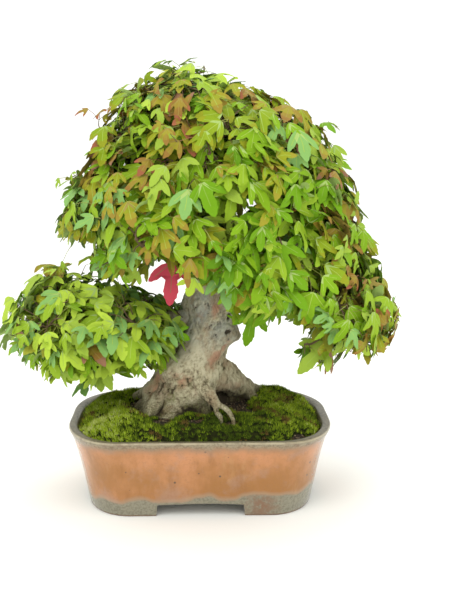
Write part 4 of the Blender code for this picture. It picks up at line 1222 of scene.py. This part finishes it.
def tube(route, thick, thin, sides):
    """(points, triangles) of a thin closed tube along a route."""
    points = []
    for i, ((side, other), place) in enumerate(zip(sides_along(route), route)):
        radius = thick + (thin - thick) * i / (len(route) - 1)
        for k in range(sides):
            turn = math.tau * k / sides
            points.append(place + radius * (side * math.cos(turn) + other * math.sin(turn)))
    faces = []
    for i in range(len(route) - 1):
        for k in range(sides):
            a, b = i * sides + k, i * sides + (k + 1) % sides
            faces += [(a, b, b + sides), (a, b + sides, a + sides)]
    end = len(points) - sides
    for k in range(1, sides - 1):
        faces += [(0, k + 1, k), (end, end + k, end + k + 1)]
    return np.array(points), np.array(faces)


# The pale bluish mist green is partly the bluish leaves' own colour and partly a painted sheen of light on
# lit leaves.
# The two glow colours are painted light: brighter greens for leaves deep in the crown, standing in for the
# light that comes through the leaves.
LEAF_COLOURS = {
    "deep": "5a840e", "green": "689412", "fresh": "789e18", "spring": "88a626", "lime": "94ae3c",
    "mist_and_sheen": "7ea85a", "leafy": "82981c", "olive": "8a901c", "gold": "948c28", "tan": "907c2c",
    "bronze": "8e6c30", "russet": "985c3e", "mauve": "8e684e", "red": "c04454", "painted_glow": "a8c23e",
    "painted_glow_olive": "a0a238", "vein_dark": "7e9e3c", "vein": "98b04c", "vein_warm": "988644", "under": "9cb466",
}
COLOUR_NUMBERS = {name: number for number, name in enumerate(LEAF_COLOURS)}
TINTS = (  # the colours of a leaf from its heart to its tips, and those of its underside and veins
    ("lime", "lime", "lime", "under", "vein"), ("spring", "spring", "spring", "under", "vein"),
    ("fresh", "fresh", "fresh", "under", "vein"), ("green", "green", "green", "under", "vein_dark"),
    ("deep", "deep", "deep", "under", "vein_dark"), ("mist_and_sheen", "mist_and_sheen", "mist_and_sheen", "under", "vein"),
    ("leafy", "leafy", "olive", "under", "vein"), ("olive", "olive", "gold", "vein_warm", "vein"),
    ("olive", "gold", "tan", "vein_warm", "vein"), ("gold", "tan", "bronze", "vein_warm", "vein_warm"),
    ("tan", "bronze", "russet", "vein_warm", "vein_warm"),
    ("tan", "bronze", "mauve", "vein_warm", "vein_warm"), ("red", "red", "red", "vein_warm", "mauve"),
    ("painted_glow", "painted_glow", "painted_glow", "under", "vein"), ("painted_glow_olive", "painted_glow_olive", "painted_glow_olive", "under", "vein"),
)
TINT_KINDS = np.array([[COLOUR_NUMBERS[name] for name in tint] for tint in TINTS])
RED_TINT = 12
WARM_TINTS = (9, 10, 11, RED_TINT)
# The sprays on the shoots, deep in the crown, may take the glow tint, which is painted light.
SHOOT_TINTS = (1, 2, 6, 13)
INNER = 0.52
AUTUMN_TOP = (0.340, 0.10)  # where the leaves start to turn, and how far on they are at their warmest
AUTUMN_RIGHT = (0.10, 0.09)
AUTUMN_LEFT = (0.10, 0.06)
FRONT = (0.02, 0.10)
# Leaves deep in the crown get brighter tints, the glow ones most of all, as painted light for the light that
# comes through the leaves.
INNER_PAINTED_LIGHT_WEIGHTS = (1.2, 1.2, 0.6, 0, 0, 0.5, 0, 0, 0, 0, 0, 0, 0, 3.0)
INNER_PAINTED_LIGHT_OLIVE = (0.4, 1.0)
# The low left pad gets paler, brighter tints than the rest: partly its own bluish leaves, partly painted
# light to make up for the crown's shadow on it.
LOW_LEFT_WEIGHTS_WITH_PAINTED_LIGHT = (2.2, 1.6, 1.2, 0.7, 0.1, 3.2, 0.4, 0.2, 0.2, 0.1, 0.05, 0.4, 0, 1.8, 0)


def tint_weights(point, name):
    """How often each tint comes up at a place in the crown, in the order of the tints."""
    high = between((point.z - AUTUMN_TOP[0]) / AUTUMN_TOP[1])
    right = between((point.x - AUTUMN_RIGHT[0]) / AUTUMN_RIGHT[1])
    left = between((-AUTUMN_LEFT[0] - point.x) / AUTUMN_LEFT[1])
    warm = max(0.85 * high, 0.9 * right, 0.35 * left)
    front = between((FRONT[0] - point.y) / FRONT[1])
    # painted light: leaves deep inside the crown get brighter tints
    if outline_share(point, outline_of(name)) < INNER:
        return (*INNER_PAINTED_LIGHT_WEIGHTS, INNER_PAINTED_LIGHT_OLIVE[high > 0])
    if is_low_left(name):
        return LOW_LEFT_WEIGHTS_WITH_PAINTED_LIGHT
    return (
        0.4 + 0.3 * front * (1 - warm) + 1.5 * (right + left),
        1.1 + 0.4 * front * (1 - warm) + right + left,
        1.8 - 0.8 * warm,
        1.7 - 1.2 * warm,
        0.5 - 0.45 * warm,
        0.6 - 0.3 * warm + 0.5 * right + 0.5 * left,
        0.8 + 1.2 * warm,
        0.3 + 1.1 * warm,
        0.4 + 0.6 * warm,
        0.15 + 1.4 * warm,
        0.06 + 0.9 * warm,
        0.15 + 0.3 * warm,
        0, 0, 0,
    )


CROWN_CENTRE = Vector((0.012, 0.006, 0.235))
LOWER_LEFT_CENTRE = Vector((-0.105, 0.004, 0.110))
GOLDEN_ANGLE = math.pi * (3 - math.sqrt(5))
TURN_SCATTER = 0.35
WANDER = 0.06
STEM_ROOTED = 0.004
STEM_BEND = 0.45
STEM_INWARDS = 0.4
STEM_TOP = 0.63
STEM_NODES = 14
STEM_FOOT = 1.05
STEM_END = 0.0015
SHOOTS = 10
SHOOT_DEPTH = 0.60
SHOOT_THICK, SHOOT_TAPER = 0.0017, 0.6
SHOOT_NODES = 22
SHOOT_END = 0.56
SHOOT_SHORTEST = 0.01
SHOOT_ARCH = (0.006, 4)  # rise, and how many bends
TWIG_THICK, TWIG_TAPER = 0.0008, 0.55
TWIG_NODES = 9
TWIG_ARCH = (0.004, 3)
TWIG_REACH = 0.070
TWIG_ROOM = 0.008
SPRAYS_APART = 0.0172
SPRAY_TRIES = 5200
SPRAY_REACH = 0.86
SPRIG_TAPER = 0.5
SPRIG_ARCH = (0.002, 3)
SPRIG_LEAVES = 0.62
PAIRS = (1.0, 0.80, 0.58)
STALK_LENGTHS = (0.007, 0.020)
STALK_THICK = 0.00038
STALK_TAPER = 0.8
STALK_OUT, STALK_AHEAD, STALK_LIFT, STALK_SCATTER = 0.8, 0.45, 0.22, 0.18
STALK_GAIN = 0.25  # each pair further down a twig has stalks longer by this share
STALK_SAG, STALK_BOW = 0.18, 0.06
STALK_DROP = 0.012
INTO_LEAF = 0.03
LEAF_LENGTHS = (0.020, 0.038)
LEAF_WIDTHS = (0.88, 1.14)
YOUNG_LEAF, LEAF_GAIN = 0.88, 0.10
LONE_LEAF_WIDTH = 0.9
LONE_TWIG_SHARE = 0.8
LEAVES_APART = 0.0078
LEAF_ROOM = 0.005
LEAF_REACH = (0.98, 1.07)  # how far out in the outline a leaf's middle and its tip may lie
LEAF_STEEP = 0.7
LEAF_LIFT = 0.20
LEAF_SCATTER = 0.43
LEAF_DOWNHILL = (0.45, 1.0)
LEAF_AWAY = 0.9
SAME_TINT = 0.75  # of a spray's leaves, this share has the spray's own tint
LEAF_SHARP = 40
SPRIGS = (  # ends of the twigs that stand out of the crown, and the mass that each grows from
    ("apex", (-0.060, -0.010, 0.474)), ("apex", (-0.030, 0.000, 0.485)), ("apex", (-0.010, 0.010, 0.480)),
    ("apex", (-0.018, 0.000, 0.486)), ("apex", (-0.026, 0.012, 0.482)), ("apex", (-0.014, -0.012, 0.482)),
    ("apex", (0.012, -0.004, 0.474)), ("apex", (0.034, 0.000, 0.472)), ("apex", (-0.082, 0.004, 0.462)),
    ("upper_left", (-0.112, 0.000, 0.432)), ("middle_left", (-0.146, 0.000, 0.292)),
    ("middle_left", (-0.138, -0.006, 0.368)), ("upper_right", (0.136, 0.000, 0.424)),
    ("lower_left_outer", (-0.156, -0.012, 0.260)), ("lower_left_outer", (-0.130, -0.004, 0.270)),
    ("lower_left_outer", (-0.142, -0.020, 0.252)), ("lower_left_outer", (-0.168, 0.006, 0.250)),
    ("middle_right", (0.182, -0.004, 0.290)), ("upper_front", (-0.030, -0.114, 0.420)),
    ("upper_back", (0.020, 0.116, 0.424)),
)
LONE_LEAVES = (  # mass, foot of the blade, way of its tip, way it faces, length and tint
    ("middle_front_left", (-0.030, -0.070, 0.2835), (-0.05, -0.10, -1.0), (0.10, -1, 0.12), 0.049, RED_TINT),
    ("lower_right_front", (0.137, -0.075, 0.194), (-0.72, -0.20, -0.70), (-0.15, -1, 0.30), 0.045, 0),
    ("lower_right_front", (0.059, -0.050, 0.224), (-0.22, -0.15, -1.0), (0.05, -1, 0.20), 0.040, 3),
)


class Crown:
    """What has grown so far: the ends of twigs and the middles of leaves, to keep them apart."""
    tips = []
    leaves = []

    @staticmethod
    def crowded(point, others, apart):
        return any((point - other).length_squared < apart * apart for other in others)


def scattered(dice, spread):
    """A small step in any direction."""
    return Vector(dice.gauss(0, spread) for _ in range(3))


def leaf_lie(base, stalk_way, name, dice):
    """(direction to the leaf's tip, its face): it hangs down the outside of the crown, away from its twig."""
    outwards = base - (LOWER_LEFT_CENTRE if is_low_left(name) else CROWN_CENTRE)
    face = Vector((outwards.x, outwards.y, LEAF_STEEP * outwards.z)).normalized() + Vector((0, 0, LEAF_LIFT))
    face = (face + scattered(dice, LEAF_SCATTER)).normalized()
    downhill = Vector((face.x, face.y, -1.0)).normalized()
    along = downhill * dice.uniform(*LEAF_DOWNHILL) + stalk_way * LEAF_AWAY
    along = (along - along.dot(face) * face).normalized()
    return along, face


def spread_points(centre, half, count, depth, dice):
    """Points spread evenly over an ellipsoid this deep inside the one of these half sizes."""
    points = []
    for i in range(count):
        level = 1 - 2 * (i + 0.5) / count
        ring = math.sqrt(1 - level * level)
        turn = i * GOLDEN_ANGLE + dice.uniform(-TURN_SCATTER, TURN_SCATTER)
        offset = Vector((ring * math.cos(turn), ring * math.sin(turn), level)) * depth
        points.append(centre + Vector(o * h for o, h in zip(offset, half)))
    return points


def arched(start, end, lift, bends, dice):
    """Stops of a twig from start to end that rises a little on its way and wanders."""
    stops = []
    wander = (end - start).length * WANDER
    for i in range(bends + 1):
        t = i / bends
        swing = scattered(dice, 1) * wander * math.sin(math.pi * t)
        stops.append(start.lerp(end, t) + Vector((0, 0, lift * math.sin(math.pi * t))) + swing)
    return stops


def nearest(places, point):
    return min(places, key=lambda place: (place - point).length_squared)


class Mass:
    """One mass as it grows: its twigs and leaves so far, and the places that more can grow from."""

    def __init__(self, name, seed, forms):
        self.name = name
        self.forms = forms
        self.dice = random.Random(seed)
        centre, self.half, self.limb = MASSES[name]
        self.centre = Vector(centre)
        self.outline = outline_of(name)
        self.twigs, self.leaves = Gathered(), Gathered()
        self.places = []

    def add_twig(self, route, thick, thin, sides, finish=0):
        points, faces = tube(route, thick, thin, sides)
        self.twigs.add(points, faces, np.full(len(faces), finish))

    def hang_leaf(self, base, along, face, length, tint, form, width):
        """Adds one leaf, by its place, lie, length, tint, shape and width."""
        points, faces, zones = form
        lie = np.array((along.cross(face) * width, along, face))
        self.leaves.add(points @ lie * length + np.array(base), faces, TINT_KINDS[tint][zones])

    def tint_at(self, point):
        return self.dice.choices(range(len(TINTS)), tint_weights(point, self.name))[0]

    def twig_route(self, root, tip, arch):
        return route_through(arched(root, tip, *arch, self.dice), TWIG_NODES)

    def has_room(self, quarter, middle, tip, loose):
        """Whether a leaf with these places along it stays in its mass, clear of sky, trunk and leaves."""
        beyond = (outline_share(middle, self.outline) > LEAF_REACH[0]
                  or outline_share(tip, self.outline) > LEAF_REACH[1])
        if not loose and (beyond or not in_own_space(middle, self.name, SPACE_SLACK)):
            return False
        if any(in_sky_gap(place) for place in (quarter, middle, tip)):
            return False
        return clear_of_trunk(middle, LEAF_ROOM) and not Crown.crowded(middle, Crown.leaves, LEAVES_APART)

    def hang_spray(self, route, tint, loose=False):
        """Hangs opposite pairs of leaves on a twig, each square to the last. Gives how many there are."""
        dice = self.dice
        hung = 0
        aim = (route[-1] - route[-3]).normalized()
        side, other = sides_along(route)[-1]
        turn = dice.uniform(0, math.pi)
        for number, share in enumerate(PAIRS[:1] if loose else PAIRS):
            node = route[round(share * (len(route) - 1))]
            towards = turn + number * math.pi / 2
            across = (side * math.cos(towards) + other * math.sin(towards)) * STALK_OUT
            ways = [across + aim * STALK_AHEAD, -across + aim * STALK_AHEAD] + ([aim] if number == 0 else [])
            for way in ways:
                way = (way + Vector((0, 0, STALK_LIFT)) + scattered(dice, STALK_SCATTER)).normalized()
                reach = dice.uniform(*STALK_LENGTHS) * (1 + STALK_GAIN * number)
                base = node + way * reach - Vector((0, 0, STALK_SAG * reach))
                along, face = leaf_lie(base, way, self.name, dice)
                size = SPRIG_LEAVES if loose else YOUNG_LEAF + LEAF_GAIN * number
                length = dice.uniform(*LEAF_LENGTHS) * size
                quarter, middle, tip = (base + along * length * share for share in (0.25, 0.5, 1))
                if not self.has_room(quarter, middle, tip, loose):
                    continue
                Crown.leaves.append(middle)
                hung += 1
                own = tint if dice.random() < SAME_TINT else self.tint_at(middle)
                form = dice.choice(self.forms)
                self.hang_leaf(base, along, face, length, own, form, dice.uniform(*LEAF_WIDTHS))
                bow = node.lerp(base, 0.5) + Vector((0, 0, STALK_BOW * reach))
                stalk = [node, bow, base + along * length * INTO_LEAF]
                self.add_twig(stalk, STALK_THICK, STALK_THICK * STALK_TAPER, 3, 1 + (own in WARM_TINTS))
        return hung

    def grow_stem(self):
        """The stem, from the limb that carries it to the far side of its mass."""
        if self.limb is None:
            start, _ = trunk_at(float(TRUNK[-1, 0]))
            along = Vector((0, 0, 1))
            thick = float(TRUNK[-1, 3]) * STEM_FOOT
        else:
            bough = bough_stops(self.name)
            start, along = bough[-1], (bough[-1] - bough[-2]).normalized()
            thick = self.limb[1] * TIP_SHARE * STEM_FOOT
        reach = math.sqrt(sum((a * h) ** 2 for a, h in zip(along, self.half)))
        inwards = self.centre - start
        bend = start + along * reach * STEM_BEND
        end = start + inwards * STEM_INWARDS + inwards.normalized() * reach * STEM_TOP
        stem = route_through([start - along * STEM_ROOTED, bend, end], STEM_NODES)
        self.add_twig(stem, thick, STEM_END, 8)
        return stem

    def grow_shoots(self, stem):
        """Shoots from the stem to all sides of the mass. Each starts a little further up the stem."""
        for i, target in enumerate(spread_points(self.centre, self.half, SHOOTS, SHOOT_DEPTH, self.dice)):
            while outline_share(target, self.outline) > SHOOT_END:
                target = target.lerp(self.centre, 0.1)
                if (target - self.centre).length < SHOOT_SHORTEST:
                    break
            root = stem[min(2 + round((STEM_NODES - 3) * (i + 1) / SHOOTS), STEM_NODES - 1)]
            route = route_through(arched(root, target, *SHOOT_ARCH, self.dice), SHOOT_NODES)
            if any(in_sky_gap(place) for place in route[SHOOT_NODES // 2:]):
                continue
            self.add_twig(route, SHOOT_THICK, SHOOT_THICK * SHOOT_TAPER, 6)
            self.hang_spray(route, self.dice.choice(SHOOT_TINTS))
            self.places += route[4:]
        self.places += stem[3:]

    def may_end_at(self, tip):
        """Whether a twig may end here: near the crown's skin, in its own mass and clear of what has grown."""
        if outline_share(tip, self.outline) > SPRAY_REACH or not in_own_space(tip, self.name):
            return False
        if not near_surface(tip, self.name) or Crown.crowded(tip, Crown.tips, SPRAYS_APART):
            return False
        return clear_of_trunk(tip, TWIG_ROOM) and not in_sky_gap(tip)

    def grow_sprays(self):
        """Twigs with their leaves, wherever a twig may end."""
        for _ in range(SPRAY_TRIES):
            tip = self.centre + Vector(self.dice.uniform(-1, 1) * h for h in self.half)
            if not self.may_end_at(tip):
                continue
            root = nearest(self.places, tip)
            if (root - tip).length > TWIG_REACH:
                continue
            Crown.tips.append(tip)
            route = self.twig_route(root, tip, TWIG_ARCH)
            if any(in_sky_gap(place) for place in route):
                continue
            if self.hang_spray(route, self.tint_at(tip)):
                self.add_twig(route, TWIG_THICK, TWIG_THICK * TWIG_TAPER, 5)

    def grow_sprigs(self):
        """The few twigs that stand out of the crown."""
        for mass, tip in SPRIGS:
            if mass == self.name:
                tip = Vector(tip)
                route = self.twig_route(nearest(self.places, tip), tip, SPRIG_ARCH)
                if self.hang_spray(route, self.tint_at(tip), loose=True):
                    self.add_twig(route, TWIG_THICK, TWIG_THICK * SPRIG_TAPER, 5)

    def hang_lone_leaves(self):
        """The leaves that hang by themselves, each from a place above and behind it."""
        for mass, base, along, face, length, tint in LONE_LEAVES:
            if mass == self.name:
                base, along, face = Vector(base), Vector(along).normalized(), Vector(face)
                face = (face - face.dot(along) * along).normalized()
                above = [place for place in self.places if place.z > base.z + STALK_DROP and place.y > base.y]
                root = nearest(above or self.places, base)
                route = self.twig_route(root, base + along * length * INTO_LEAF, SPRIG_ARCH)
                self.add_twig(route, TWIG_THICK * LONE_TWIG_SHARE, STALK_THICK, 5)
                self.hang_leaf(base, along, face, length, tint, self.forms[2], LONE_LEAF_WIDTH)

    def grow(self):
        self.grow_shoots(self.grow_stem())
        self.grow_sprays()
        self.grow_sprigs()
        self.hang_lone_leaves()


def leaf_finish(name, colour):
    leaf = Finish(name, colour, 0.55, Specular_IOR_Level=0.12)
    leaf.relief(leaf.cloud(900, 2), 0.0002)
    return leaf


leaf_finishes = [leaf_finish("leaf_" + name, colour) for name, colour in LEAF_COLOURS.items()]
twig_finishes = [Finish("twig_bark", "6a5842", 0.85, Specular_IOR_Level=0.2),
                 Finish("stalk_green", "8f9440", 0.5), Finish("stalk_red", "94603e", 0.5)]
leaf_forms = [leaf_shape(*form) for form in LEAF_FORMS]
for seed, name in enumerate(MASSES):
    mass = Mass(name, seed, leaf_forms)
    mass.grow()
    twigs = mass.twigs.mesh("twigs_" + name)
    add_piece("twigs_" + name, twigs, twig_finishes, ["leaves_" + name])
    foliage = mass.leaves.mesh("foliage_" + name)
    add_piece("foliage_" + name, foliage, leaf_finishes, ["leaves_" + name], sharp=LEAF_SHARP)


# The photograph's stage: a plain pale floor, soft studio light, and the camera at the photograph's own place.

CAMERA_LENS = 60
FLOOR_HALF = 40.0
LIGHTS_AIM = Vector((0, 0, 0.25))
LIGHTS = (  # name, place, size, power and colour
    ("key", (-1.0, -1.5, 1.9), 1.3, 17, (1.0, 0.98, 0.92)),
    ("fill", (1.6, -1.2, 0.9), 1.4, 8, (0.97, 0.99, 1.0)),
    ("top", (0.2, 0.5, 2.2), 1.6, 9, (1.0, 1.0, 0.97)),
)
STUDIO_COLOUR = (0.97, 0.99, 0.97, 1)
STUDIO_POWER = 1.2

shell = bmesh.new()
bmesh.ops.create_grid(shell, x_segments=1, y_segments=1, size=FLOOR_HALF)
floor = bpy.data.objects.new("floor", mesh_of(shell, "floor"))
bpy.context.scene.collection.objects.link(floor)
floor.data.materials.append(Finish("floor", "faf9f6", 0.8).material)

camera = bpy.data.objects.new("camera", bpy.data.cameras.new("camera"))
bpy.context.scene.collection.objects.link(camera)
camera.data.lens = CAMERA_LENS
turn = Matrix.Rotation(-CAMERA_RIGHT, 4, "Z") @ Matrix.Rotation(math.pi / 2 - CAMERA_DOWN, 4, "X")
roll = Matrix.Rotation(CAMERA_ROLL, 4, "Z")
camera.matrix_world = Matrix.Translation(MIDDLE + CAMERA_PLACE) @ turn @ roll
bpy.context.scene.camera = camera

for name, place, size, power, colour in LIGHTS:
    lamp = bpy.data.lights.new(name, "AREA")
    lamp.size = size
    lamp.energy = power
    lamp.color = colour
    light = bpy.data.objects.new(name, lamp)
    bpy.context.scene.collection.objects.link(light)
    light.location = place
    light.rotation_euler = (LIGHTS_AIM - Vector(place)).to_track_quat("-Z", "Y").to_euler()
world = bpy.data.worlds.new("studio")
world.use_nodes = True
world.node_tree.nodes["Background"].inputs["Color"].default_value = STUDIO_COLOUR
world.node_tree.nodes["Background"].inputs["Strength"].default_value = STUDIO_POWER
bpy.context.scene.world = world
bpy.context.scene.view_settings.view_transform = "Standard"
